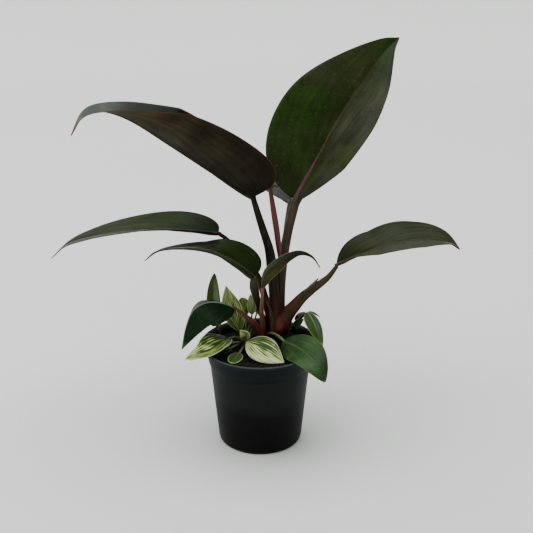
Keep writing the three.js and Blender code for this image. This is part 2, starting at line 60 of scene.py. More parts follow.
# Patterns on leaves, in millimetres. The real pores and small veins, about 0.1 mm wide, are too fine to show
# and are drawn coarser.
MOTTLE, BRONZE_CLOUD, SPECK, STREAK_LENGTH = 23.8, 50.0, 2.38, 50.0
VEIN_SPACING, VEIN_WIDTH, VEIN_WANDER = 10.0, 1.2, 5.0
SMALL_VEIN_SPACING, SMALL_VEIN_WIDTH = 2.0, 1.0
# A side vein runs this many millimetres to the tip for each one outward.
VEIN_SLANT = 1.3

# Half a blade has this many lanes from midrib to margin, and streaks and stripes keep to them. From base to
# tip they run outward by so much of the half width, as a leaf's parallel veins do.
LANES, LEAF_SWEEP, STRIPE_SWEEP = 12.0, 0.6, 0.5
# Green lines stand this many lanes apart.
STRIPE_PITCH = 2.2


def in_a_metre(size):
    """How many of a pattern's marks, of this size in millimetres, lie in a metre."""
    return 1 / (size * MM)


def linear(code):
    """An sRGB hex value as linear RGBA."""
    parts = [int(code[i : i + 2], 16) / 255 for i in (1, 3, 5)]
    return [p / 12.92 if p < 0.04045 else ((p + 0.055) / 1.055) ** 2.4 for p in parts] + [1.0]


def add(tree, kind, inputs=(), operation=None, out=0, **settings):
    """Adds a node with its settings, values and links, and gives back one of its outputs.

    Inputs stand in order, or go by name or number. A Map Range reads input 0 from the range 1 to 2 into the
    range 3 to 4. A Mix has its share at 0, its numbers at 2 and 3 and its colours at 6 and 7. A hex value is
    a colour.
    """
    made = tree.nodes.new("ShaderNode" + kind)
    if operation:
        made.operation = operation
    for name, value in settings.items():
        setattr(made, name, value)
    for key, value in inputs.items() if isinstance(inputs, dict) else enumerate(inputs):
        socket = made.inputs[key]
        if isinstance(value, bpy.types.NodeSocket):
            tree.links.new(value, socket)
        elif isinstance(value, str):
            socket.default_value = linear(value)
        else:
            socket.default_value = value
    return made.outputs[out]


def material(name, **sockets):
    """A new material with its shader's own sockets set, and the function that adds a node to its tree."""
    made = bpy.data.materials.new(name)
    made.use_nodes = True
    shader = made.node_tree.nodes["Principled BSDF"]
    for key, value in sockets.items():
        shader.inputs[key.replace("_", " ")].default_value = value
    return made, partial(add, made.node_tree)


def finished(made, colour, roughness=None, relief=None):
    """Links the colour, roughness and relief from a material's nodes to its shader, and gives it back."""
    shader = made.node_tree.nodes["Principled BSDF"]
    for key, given in (("Base Color", colour), ("Roughness", roughness), ("Normal", relief)):
        if given is not None:
            made.node_tree.links.new(given, shader.inputs[key])
    return made


def blade_places(node):
    """A blade's measures: mm across, along and from the margin, shares across and along, 1 on its face."""
    place = node("Attribute", out="Vector", attribute_name="blade_mm")
    share = node("Attribute", out="Vector", attribute_name="blade_share")
    measures = node("SeparateXYZ", [place]).node.outputs
    shares = node("SeparateXYZ", [share]).node.outputs
    return [*measures, *shares]


def leaf_skin(name, left, right, under, tip, rib, rim, keel=None, blush=None, tip_from=(0.55, 1.0), base=0.6,
              base_to=0.3, rib_width=0.8, rim_width=0.6, point_from=(0.9, 0.97), veins=0.08,
              streaks=(0.3, 0.3), specks=0.0, mottle=0.15, roughness=0.36, sheen=0.4):
    """A leaf's skin: two halves, an underside, a tip, a midrib, veins that sweep to the tip, and a margin.

    The keel is the underside's colour beside the midrib, where it paints a sheen, and the blush spreads in
    broad clouds. The tip's colour comes in over the shares tip_from, and on some leaves it paints a sheen;
    the point takes the margin's colour over point_from. The base is darker by the factor base, which ends at
    the share base_to. Sheen is the specular level.
    A streak keeps the lane 12 (|t| - 0.6 s), with t the share across and s along: it bends with the margin.
    """
    made, node = material(name, IOR=WAX_IOR, Specular_IOR_Level=sheen)
    across, along, rim_mm, out_share, tip_share, face = blade_places(node)
    solid = node("TexCoord", out="Object")
    coarse = node("TexNoise", {"Vector": solid, "Scale": in_a_metre(MOTTLE), "Detail": 3.0})
    fine = node("TexNoise", {"Vector": solid, "Scale": in_a_metre(SPECK), "Detail": 2.0})

    # The net of veins: large ones and a finer set between them, both bent a little by the mottling.
    distance = node("Math", [across], "ABSOLUTE")
    sweep = node("Math", [distance, -VEIN_SLANT, along], "MULTIPLY_ADD")
    warped = node("Math", [coarse, VEIN_WANDER, sweep], "MULTIPLY_ADD")
    side_vein = node("Math", [warped, VEIN_SPACING], "PINGPONG")
    vein = node("MapRange", [side_vein, 0.0, VEIN_WIDTH, 1.0, 0.0], **EASED)
    small_vein = node("Math", [warped, SMALL_VEIN_SPACING], "PINGPONG")
    small = node("MapRange", [small_vein, 0.0, SMALL_VEIN_WIDTH, 0.4, 0.0], **EASED)
    net = node("Math", [vein, small], "MAXIMUM")

    # The streaks are painted sheens, and they differ from one half to the other.
    outward = node("Math", [out_share], "ABSOLUTE")
    bent = node("Math", [tip_share, -LEAF_SWEEP, outward], "MULTIPLY_ADD")
    lane = node("Math", [bent, LANES], "MULTIPLY")
    run = node("Math", [along, 1 / STREAK_LENGTH], "MULTIPLY")
    side = node("Math", [out_share], "SIGN")
    flow = node("CombineXYZ", [lane, run, side])
    streak = node("TexNoise", {"Vector": flow, "Scale": 1.0, "Detail": 3.0, "Roughness": 0.6})

    # The two faces' colours.
    halves = node("MapRange", [across, -0.6, 0.6])
    upper = node("Mix", {0: halves, 6: left, 7: right}, **COLOURS)
    tipped_by = node("MapRange", [tip_share, *tip_from], **EASED)
    topped = node("Mix", {0: tipped_by, 6: upper, 7: tip}, **COLOURS)
    if blush:
        broad = node("TexNoise", {"Vector": solid, "Scale": in_a_metre(BRONZE_CLOUD), "Detail": 2.0})
        blush_by = node("MapRange", [broad, 0.42, 0.62], **EASED)
        topped = node("Mix", {0: blush_by, 6: topped, 7: blush}, **COLOURS)
    # Beside the midrib the underside takes the keel's colour, a painted sheen.
    beside = node("MapRange", [outward, 0.05, 0.6], **EASED)
    back = node("Mix", {0: beside, 6: keel or under, 7: under}, **COLOURS)
    sided = node("Mix", {0: face, 6: back, 7: topped}, **COLOURS)

    # Light and dark: the mottling, the painted sheen of the streaks, and the darker base.
    spots = node("MapRange", [coarse, 0.35, 0.7, 1.0 - mottle, 1.0 + mottle])
    streaked = node("MapRange", {0: halves, 3: streaks[0], 4: streaks[1]})
    centred = node("MapRange", [streak, 0.35, 0.65, -1.0, 1.0])
    bands = node("Math", [centred, streaked, 1.0], "MULTIPLY_ADD")
    dim = node("MapRange", [tip_share, 0.0, base_to, base, 1.0])
    shaded = node("Math", [spots, dim], "MULTIPLY")
    shade = node("Math", [shaded, bands], "MULTIPLY")
    colour = node("VectorMath", {0: sided, 3: shade}, "SCALE")

    # Specks, veins, the midrib that narrows and fades to the tip, and the margin.
    speck_by = node("MapRange", [fine, 0.6, 0.72, 0.0, specks])
    vein_by = node("Math", [net, veins], "MULTIPLY")
    taper = node("MapRange", [tip_share, 0.0, 1.0, rib_width, 0.25 * rib_width])
    rib_by = node("Math", [distance, taper], "SUBTRACT")
    rib_mask = node("MapRange", [rib_by, -0.3, 0.5, 1.0, 0.0])
    rib_left = node("MapRange", [tip_share, 0.15, 0.75, 1.0, 0.25])
    rib_shown = node("Math", [rib_mask, rib_left], "MULTIPLY")
    edge = node("MapRange", [rim_mm, 0.4 * rim_width, rim_width, 1.0, 0.0])
    point = node("MapRange", [tip_share, *point_from, 0.0, 0.9])
    rim_mask = node("Math", [edge, point], "MAXIMUM")
    for mask, over in ((speck_by, "#6c7a54"), (vein_by, rib), (rib_shown, rib), (rim_mask, rim)):
        colour = node("Mix", {0: mask, 6: colour, 7: over}, **COLOURS)

    # The wax is duller toward the base and along some streaks, and the underside is matt.
    dull = node("Math", [streak, 0.6, fine], "MULTIPLY_ADD")
    waxy = node("MapRange", [dull, 0.55, 1.05, roughness - 0.06, roughness + 0.1])
    matt = node("MapRange", [tip_share, 0.0, 0.4, 0.12, 0.0])
    upside = node("Math", [waxy, matt], "ADD")
    gloss = node("Mix", {0: face, 2: 0.85, 3: upside})
    # The veins and specks are sunk.
    height = node("Math", [fine, 0.25, net], "MULTIPLY_ADD")
    bump = node("Bump", {"Height": height, "Strength": 0.4, "Distance": 0.2 * MM}, invert=True)
    return finished(made, colour, gloss, bump)


def striped_skin(name, cream, yellow, green, left, right):
    """A striped leaf's skin: green lines on cream, wide and fine by turns, sweep from the midrib to the tip.

    A line keeps the lane 12 (|t| - s/2), with t the share across and s along: it bends with the margin. Left
    and right are the green's share of each half.
    """
    made, node = material(name, IOR=WAX_IOR, Specular_IOR_Level=0.3)
    across, along, rim_mm, out_share, tip_share, face = blade_places(node)
    distance = node("Math", [across], "ABSOLUTE")
    outward = node("Math", [out_share], "ABSOLUTE")
    bent = node("Math", [tip_share, -STRIPE_SWEEP, outward], "MULTIPLY_ADD")
    lane = node("Math", [bent, LANES], "MULTIPLY")
    side = node("Math", [out_share], "SIGN")
    flow = node("CombineXYZ", [lane, along, side])

    # Threads are two thirds of a lane wide, patches five lanes. Both are 14 mm long, and the halves differ.
    thread = node("VectorMath", [flow, (1.5, 0.07, 5.0)], "MULTIPLY")
    streak = node("TexNoise", {"Vector": thread, "Scale": 1.0, "Detail": 4.0, "Roughness": 0.65})
    cloud = node("VectorMath", [flow, (0.2, 0.07, 3.0)], "MULTIPLY")
    patch = node("TexNoise", {"Vector": cloud, "Scale": 1.0, "Detail": 1.0})

    # The threads lead the lines astray and break them, and the patches widen them. Less is green at the tip.
    wander = node("Math", [streak, 2.2, lane], "MULTIPLY_ADD")
    line = node("Math", [wander, 0.5 * STRIPE_PITCH], "PINGPONG")
    even = node("Math", [line, 2.0 / STRIPE_PITCH], "MULTIPLY")
    broken = node("Math", [streak, 2.0, even], "MULTIPLY_ADD")
    spread = node("Math", [patch, 2.2, broken], "MULTIPLY_ADD")
    share = node("MapRange", [out_share, -0.02, 0.02, 1.6 * left, 1.6 * right])
    paler = node("Math", [tip_share, -0.7, share], "MULTIPLY_ADD")
    greener = node("Math", [spread, paler], "ADD")
    yellow_by = node("MapRange", [greener, 2.75, 3.2])
    green_by = node("MapRange", [greener, 3.15, 3.5])

    # A cream margin 1 mm wide, a yellow midrib half a millimetre wide, and a darker underside.
    rim_mask = node("MapRange", [rim_mm, 0.4, 1.1, 0.9, 0.0])
    rib_mask = node("MapRange", [distance, 0.15, 0.6, 0.6, 0.0])
    colour = cream
    for mask, over in ((yellow_by, yellow), (green_by, green), (rim_mask, cream), (rib_mask, yellow)):
        colour = node("Mix", {0: mask, 6: colour, 7: over}, **COLOURS)
    backed = node("MapRange", {0: face, 3: 0.6, 4: 1.0})
    dimmed = node("VectorMath", {0: colour, 3: backed}, "SCALE")
    gloss = node("MapRange", [streak, 0.3, 0.7, 0.44, 0.56])
    bump = node("Bump", {"Height": even, "Strength": 0.3, "Distance": 0.3 * MM})
    return finished(made, dimmed, gloss, bump)


def stalk_skin(name, roughness, sheen, streaks=0.3, blotches=0.0):
    """A stalk's skin: its tint carried by the mesh, with streaks, ridges and olive blotches.

    The streaks are 2 mm wide and 33 mm long, and the blotches 8 mm, counted in the stalk's own millimetres.
    """
    made, node = material(name, IOR=WAX_IOR, Specular_IOR_Level=sheen)
    tint = node("Attribute", out="Color", attribute_name="tint")
    place = node("Attribute", out="Vector", attribute_name="stalk_mm")
    flow = node("VectorMath", [place, (0.5, 0.5, 0.03)], "MULTIPLY")
    streak = node("TexNoise", {"Vector": flow, "Scale": 1.0, "Detail": 4.0, "Roughness": 0.6})
    patch = node("TexNoise", {"Vector": place, "Scale": 0.12, "Detail": 3.0})
    shade = node("MapRange", [streak, 0.3, 0.7, 1.0 - streaks, 1.0 + streaks])
    blotched_by = node("MapRange", [patch, 0.45, 0.65, 0.0, blotches])
    blotched = node("Mix", {0: blotched_by, 6: tint, 7: "#33301c"}, **COLOURS)
    colour = node("VectorMath", {0: blotched, 3: shade}, "SCALE")
    gloss = node("MapRange", [streak, 0.3, 0.7, roughness - 0.05, roughness + 0.08])
    bump = node("Bump", {"Height": streak, "Strength": 0.35, "Distance": 0.3 * MM})
    return finished(made, colour, gloss, bump)


# Shapes

# A blade's thickness and the half width that it keeps at its tip, and the least curl, in degrees, that its
# formula can take.
BLADE_THICKNESS, BLADE_EDGE, LEAST_CURL = 0.7, 0.6, 0.1
# A stalk's end is rounded off by a rim of this length that stands in by so much.
END_RIM, END_INSET = 0.35, 0.3
# A route is measured in so many steps.
ROUTE_STEPS = 600


def unit(v):
    """Vectors scaled to length one."""
    return v / np.maximum(np.linalg.norm(v, axis=-1, keepdims=True), 1e-12)


def route(points, fractions):
    """Places at fractions of the length of the smooth curve through the points, and its directions there.

    Between b and c, with a before and d after, it is the uniform Catmull-Rom curve
    b + f/2 (c - a + f (2a - 5b + 4c - d + f (3b - 3c + d - a))), and its ends are mirrored.
    """
    p = np.asarray(points, float)
    p = np.vstack([2 * p[0] - p[1], p, 2 * p[-1] - p[-2]])
    u = np.linspace(0, len(p) - 3, ROUTE_STEPS + 1)
    i = np.minimum(u.astype(int), len(p) - 4)
    f = (u - i)[:, None]
    a, b, c, d = p[i], p[i + 1], p[i + 2], p[i + 3]
    q = b + 0.5 * f * (c - a + f * (2 * a - 5 * b + 4 * c - d + f * (3 * b - 3 * c + d - a)))
    reach = np.r_[0, np.cumsum(np.linalg.norm(np.diff(q, axis=0), axis=1))]
    share = reach / reach[-1]
    slope = unit(np.gradient(q, axis=0))
    at = np.stack([np.interp(fractions, share, q[:, k]) for k in range(3)], -1)
    heading = unit(np.stack([np.interp(fractions, share, slope[:, k]) for k in range(3)], -1))
    return at, heading, reach[-1]


def stations(values, fractions):
    """A value that runs through a list whose entries stand at equal steps."""
    values = np.atleast_1d(values)
    return np.interp(fractions, np.linspace(0, 1, len(values)), values)


def grid_faces(rows, columns, start=0, ring=False):
    """Four-sided faces between neighbouring points of a grid, closed round when it is a ring."""
    i = np.arange(rows - 1)[:, None]
    j = np.arange(columns if ring else columns - 1)[None, :]
    right = (j + 1) % columns
    corners = [i * columns + j, i * columns + right, (i + 1) * columns + right, (i + 1) * columns + j]
    return start + np.stack(np.broadcast_arrays(*corners), -1).reshape(-1, 4)


def facing(face, heading, s):
    """The way a blade faces at the shares s of its route, square to it: from the base's way to the tip's."""
    first, last = np.broadcast_to(np.asarray(face, float), (2, 3))
    up = first + (last - first) * s[:, None]
    return unit(up - (up * heading).sum(-1, keepdims=True) * heading)


def show(name, parts, skin, nodes=()):
    """Writes a piece from parts, each with points in mm, faces and named values for its points.

    Its doubled points are merged, each closed shell is turned to face out, and it rides on the root body.
    """
    points = np.concatenate([part["points"].reshape(-1, 3) for part in parts]) * MM
    starts = np.cumsum([0] + [part["points"].size // 3 for part in parts])
    faces = np.concatenate([part["faces"] + start for part, start in zip(parts, starts)])
    mesh = bpy.data.meshes.new(name)
    mesh.vertices.add(len(points))
    mesh.vertices.foreach_set("co", points.astype(np.float32).ravel())
    mesh.loops.add(faces.size)
    mesh.loops.foreach_set("vertex_index", faces.astype(np.int32).ravel())
    mesh.polygons.add(len(faces))
    mesh.polygons.foreach_set("loop_start", np.arange(0, faces.size, faces.shape[1], dtype=np.int32))
    mesh.polygons.foreach_set("use_smooth", np.ones(len(faces), bool))
    mesh.update(calc_edges=True)
    for key in parts[0].get("values", {}):
        values = np.concatenate([part["values"][key].reshape(-1, 3) for part in parts])
        if key == "tint":
            rgba = np.concatenate([values, np.ones((len(values), 1))], 1).astype(np.float32)
            mesh.attributes.new(key, "FLOAT_COLOR", "POINT").data.foreach_set("color", rgba.ravel())
        else:
            places = mesh.attributes.new(key, "FLOAT_VECTOR", "POINT").data
            places.foreach_set("vector", values.astype(np.float32).ravel())
    mesh.materials.append(skin)
    shape = bmesh.new()
    shape.from_mesh(mesh)
    bmesh.ops.remove_doubles(shape, verts=shape.verts, dist=1e-7)
    bmesh.ops.dissolve_degenerate(shape, edges=shape.edges, dist=1e-8)
    bmesh.ops.recalc_face_normals(shape, faces=shape.faces)
    shape.to_mesh(mesh)
    shape.free()
    piece = bpy.data.objects.new(name, mesh)
    bpy.context.scene.collection.objects.link(piece)
    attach(piece, "root")
    if nodes:
        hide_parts(*nodes)


def blade(spine, face, half, fold, curl, widest=0.37, tip=1.1, lobe=0.0, wave=0.0, rows=60, columns=14,
          foot=1.0, keel=0.8, groove=0.25):
    """A blade with a thickness, about its midrib's route.

    s runs from base to tip, and t from -1 at the left margin to 1 at the right. Rows stand closer at both
    ends, and columns at the midrib. With m the widest place, b the tip's number and a = b m/(1-m), the half
    width is w = half h + edge, where h = (s/m)^a ((1-s)/(1-m))^b.
    Each half is an arc that leaves the midrib at the fold f and bends by the curl k: it goes across by
    (sin(f + k|t|) - sin f) w/k and up by (cos f - cos(f + k|t|)) w/k. The margin waves by
    wave |t|^2 sin(6 pi s + 1.5 sign t), calmed at the tip, and is drawn back by lobe h |t|^1.5 (1-s)^4.
    Each face stands off the middle by half the thickness times 1 - 0.7 |t|^8. With q = 1 - 0.85 s and x the
    millimetres from the midrib, a groove above takes off groove q exp(-(x / (0.5 + 0.9 q))^2), and a keel
    below adds keel q exp(-(x / (0.35 + 0.8 foot q))^2).
    """
    even = np.linspace(0, 1, rows)
    s = 0.25 * (1 - np.cos(np.pi * even)) + 0.5 * even
    centre, heading, length = route(spine, s)
    up = facing(face, heading, s)
    right = np.cross(heading, up)
    rise = tip * widest / (1 - widest)
    shape = ((s / widest) ** rise * ((1 - s) / (1 - widest)) ** tip)[:, None]
    step = np.linspace(-1, 1, 2 * columns + 1)
    t = np.sign(step) * np.abs(step) ** 1.25
    out = np.abs(t)[None, :]
    side = (t > 0).astype(int)
    halves = np.broadcast_to(half, 2)
    width = shape * halves[side][None, :] + BLADE_EDGE
    bends = []
    for pair in (fold, curl):
        both = pair if isinstance(pair, (tuple, list)) else (pair, pair)
        each = np.stack([stations(one, s) for one in both], -1)
        bends.append(np.radians(each[:, side]))
    f, k = bends
    k = np.where(np.abs(k) < np.radians(LEAST_CURL), np.radians(LEAST_CURL), k)
    across = (np.sin(f + k * out) - np.sin(f)) / k * width * np.sign(t)
    lift = (np.cos(f) - np.cos(f + k * out)) / k * width
    calm = np.minimum(1, 6 * (1 - s))[:, None]
    lift = lift + wave * out**2 * np.sin(6 * np.pi * s[:, None] + 1.5 * np.sign(t)) * calm
    back = lobe * out**1.5 * shape * (1 - s[:, None]) ** 4
    middle = (centre[:, None] + right[:, None] * across[..., None] + up[:, None] * lift[..., None]
              - heading[:, None] * back[..., None])
    normal = unit(np.cross(np.gradient(middle, axis=1), np.gradient(middle, axis=0)))
    reach = out * width
    margin = np.minimum((1 - out) * width, (1 - s[:, None]) * length + 0 * out)
    thick = 0.5 * BLADE_THICKNESS * (1 - 0.7 * out**8)
    slender = 1 - 0.85 * s[:, None]
    above = thick - groove * slender * np.exp(-((reach / (0.5 + 0.9 * slender)) ** 2))
    below = thick + keel * slender * np.exp(-((reach / (0.35 + 0.8 * foot * slender)) ** 2))
    top = middle + normal * above[..., None]
    under = middle - normal * below[..., None]
    n = top.shape[0] * top.shape[1]
    wide = len(step)
    edge = np.r_[np.arange(wide - 1), np.arange(rows - 1) * wide + wide - 1,
                 (rows - 1) * wide + np.arange(wide - 1, 0, -1), np.arange(rows - 1, 0, -1) * wide]
    closing = np.stack([edge, edge + n, np.roll(edge, -1) + n, np.roll(edge, -1)], -1)
    faces = np.concatenate([grid_faces(rows, wide), grid_faces(rows, wide, n)[:, ::-1], closing])
    mm = np.stack(np.broadcast_arrays(reach * np.sign(t), s[:, None] * length, margin), -1)
    shares = [np.stack(np.broadcast_arrays(t[None, :], s[:, None], face_up), -1) for face_up in (1.0, 0.0)]
    return {
        "points": np.concatenate([top.reshape(-1, 3), under.reshape(-1, 3)]),
        "faces": faces,
        "values": {
            "blade_mm": np.concatenate([mm.reshape(-1, 3)] * 2),
            "blade_share": np.concatenate([one.reshape(-1, 3) for one in shares]),
        },
    }


def stalk(points, radii, tints, sides=20, step=1.5, reach=0.0):
    """A stalk: circles square to its route, their radius running through the list, with small rounded rims.

    Its angle is measured from the side that faces the front. Its tint runs from the base's colours to the
    top's, and round it from front to right, back and left, so painting light and shade on its sides. It runs
    on by reach, into the blade it carries.
    """
    points = np.array(points, float)
    points[-1] += reach * unit(points[-1] - points[-2])
    length = route(points, [0.0])[2]
    rings = max(6, int(length / step))
    rim = END_RIM / length
    s = np.r_[0, 0, np.linspace(rim, 1 - rim, rings), 1, 1]
    centre, heading, _ = route(points, s)
    radius = stations(radii, s)
    radius[[1, -2]] -= END_INSET
    radius[[0, -1]] = 0
    front = np.array([0.0, -1.0, 0.0])
    one = unit(front - (heading @ front)[:, None] * heading)
    two = np.cross(heading, one)
    angle = np.linspace(0, 2 * np.pi, sides, endpoint=False)
    ring = one[:, None] * np.cos(angle)[None, :, None] + two[:, None] * np.sin(angle)[None, :, None]
    place = centre[:, None] + radius[:, None, None] * ring
    colours = np.array([[linear(code)[:3] for code in row] for row in tints])
    turn = angle / (np.pi / 2)
    before = turn.astype(int) % 4
    after = (before + 1) % 4
    part = (turn - turn.astype(int))[:, None]
    part = part * part * (3 - 2 * part)
    levels = colours[:, before] * (1 - part) + colours[:, after] * part
    where = s * (len(levels) - 1)
    below = np.minimum(where.astype(int), len(levels) - 2)
    mix = (where - below)[:, None, None]
    tint = levels[below] * (1 - mix) + levels[below + 1] * mix
    around = radius.max() * np.stack([np.cos(angle), np.sin(angle)], -1)
    along = np.tile((s * length)[:, None, None], (1, sides, 1))
    mm = np.concatenate([np.tile(around, (len(s), 1, 1)), along], -1)
    return {
        "points": place.reshape(-1, 3),
        "faces": grid_faces(len(s), sides, ring=True),
        "values": {"tint": tint.reshape(-1, 3), "stalk_mm": mm.reshape(-1, 3)},
    }


def neck(leaf, radius, tints):
    """A stalk run on into a blade's midrib: it thins and sinks below the face over the first third."""
    share = np.array([0, 0.02, 0.06, 0.14, 0.32])
    at, heading, _ = route(leaf["spine"], share)
    up = facing(leaf["face"], heading, share)
    sizes = radius * np.array([1, 0.82, 0.62, 0.44, 0.14])
    sink = sizes * np.array([0, 0.2, 0.45, 0.6, 0.75])
    start = at[0] - 2 * heading[0]
    return stalk(np.vstack([start, at - up * sink[:, None]]), [radius, *sizes], tints, step=1.0)


# The blades' skins

# A philodendron's grown leaf is a thick blade that grew a coat of wax: dark, with soft broad sheens where it
# lies flat to the light, and a matt back. Codes: left half, right half, underside, tip, midrib and margin.

# A leaf that faces us: green clouded with bronze at the left, grey-brown at the right, partly a painted
# sheen, with specks of dust.
BRONZE = leaf_skin("waxy_bronze_green_leaf", "#24380f", "#2e3122", "#2c1f17", "#203212", "#5a403a", "#46231f",
                   blush="#293016", base=0.7, rib_width=1.0, rim_width=0.8, point_from=(0.975, 1.0),
                   veins=0.05, streaks=(0.15, 0.3), specks=0.1, mottle=0.3, sheen=0.09)
# A leaf seen from below: a matt brown back with painted grey sheen by the midrib and on its tip, and a fine
# red edge.
BROWN_UNDER = leaf_skin("waxy_brown_backed_leaf", "#151c14", "#151c14", "#362f21", "#60685e", "#3c2820",
                        "#5c2a2b", keel="#36342c", tip_from=(0.64, 0.94), base=0.3, base_to=0.6,
                        rim_width=0.7, veins=0.03, streaks=(0.22, 0.22), mottle=0.4, sheen=0.08)
# A leaf held level: dark olive at its base, and grey where the wax catches the room's light.
GREY = leaf_skin("waxy_grey_green_leaf", "#1e2a0e", "#1e2a0e", "#282418", "#363a2c", "#4a4438", "#33231c",
                 tip_from=(0.3, 0.7), base=0.4, rim_width=0.9, point_from=(0.72, 0.95), veins=0.04,
                 streaks=(0.4, 0.4), sheen=0.06)
# The leaf at the back, in an even pale haze that is a painted sheen.
REAR_GREY = leaf_skin("waxy_hazy_green_leaf", "#3c463c", "#3c463c", "#282418", "#404a40", "#464c46",
                      "#4c3c36", base=1.0, sheen=0.1)
# A leaf that is deep green near us and bends away into the light: its tip looks silver.
DEEP = leaf_skin("waxy_deep_green_leaf", "#26340e", "#26340e", "#2a3018", "#7c806c", "#2c341c", "#44382c",
                 tip_from=(0.32, 0.62), point_from=(0.84, 0.95), veins=0.04, streaks=(0.25, 0.25),
                 mottle=0.25, sheen=0.05)
# The olive leaf at the right, with a painted grey sheen on the half that is turned up, and long soft streaks.
OLIVE = leaf_skin("waxy_olive_green_leaf", "#272e13", "#373a29", "#34362a", "#2c2e1a", "#4a3a33", "#3c2c24",
                  veins=0.04, streaks=(0.5, 0.3), sheen=0.07)
# The newest leaf: olive with a painted blue-green sheen on its left half, almost black where it arches over.
YOUNG = leaf_skin("waxy_young_leaf", "#3c4c3a", "#3a3610", "#3c3a20", "#14120c", "#1c2410", "#6c6a50",
                  tip_from=(0.15, 0.8), base=0.9, rib_width=0.5, sheen=0.15)

# Young leaves have thinner wax: satin, a clearer green, and a paler midrib and margin.

# Mid green with a grey bloom in clouds.
GREEN = leaf_skin("satin_green_leaf", "#223e1a", "#243c1a", "#28331c", "#243a1c", "#48603a", "#5a7044",
                  blush="#344e2c", point_from=(0.97, 1.0), specks=0.15, mottle=0.35, roughness=0.46,
                  sheen=0.16)
# Deep green in the shade of the big leaves, with a painted highlight along its fold drawn as a broad pale
# midrib.
SHADED = leaf_skin("satin_shaded_green_leaf", "#0f260d", "#0f260d", "#1d2614", "#12240d", "#8c9a8c",
                   "#4a5a44", rib_width=1.2, veins=0.03, roughness=0.42, sheen=0.09)
# Light green, with a painted grey sheen on the half that is turned to the room.
LIME = leaf_skin("satin_light_green_leaf", "#3c5236", "#36501e", "#3c4c28", "#38541f", "#74885c", "#8c9878",
                 base=0.8, mottle=0.3, roughness=0.46, sheen=0.14)
# The companion's round leaf that lies on the soil: dull green inside a broad yellow margin.
DIM_RIMMED = leaf_skin("satin_pale_rimmed_leaf", "#2c4a1a", "#2c4a1a", "#3c4c28", "#2c4a1a", "#4c6432",
                       "#94a05c", rim_width=1.5, roughness=0.46, sheen=0.25)
# A shoot that is still folded: olive at the left of its fold and pale grey-green at the right.
SHOOT = leaf_skin("satin_olive_shoot", "#566020", "#788264", "#4c5a2c", "#44542a", "#6c7440", "#33401c",
                  base=1.0, roughness=0.46, sheen=0.2)

# The companion's leaves grew some cells without green, so cream and green run side by side in stripes under
# a satin skin. Codes: cream, the yellow green between, and green. Then the green's share, left and right.

# Evenly green and cream.
STRIPED = striped_skin("satin_striped_leaf", "#cdd498", "#8ba336", "#1f3d14", 0.8, 0.76)
# Mostly cream, with its green in the left half.
PALE_STRIPED = striped_skin("satin_cream_leaf", "#d0d8a6", "#a0b254", "#28491a", 0.86, 0.42)
# Yellow green with fine cream lines.
YELLOW_STRIPED = striped_skin("satin_yellow_green_leaf", "#c8d294", "#7c962e", "#35581a", 0.6, 0.6)

# The blades, in millimetres and degrees. A fold or curl is one for both halves or one for each, and each may
# run through a list from base to tip. A face is one direction, or that of the base and that of the tip.

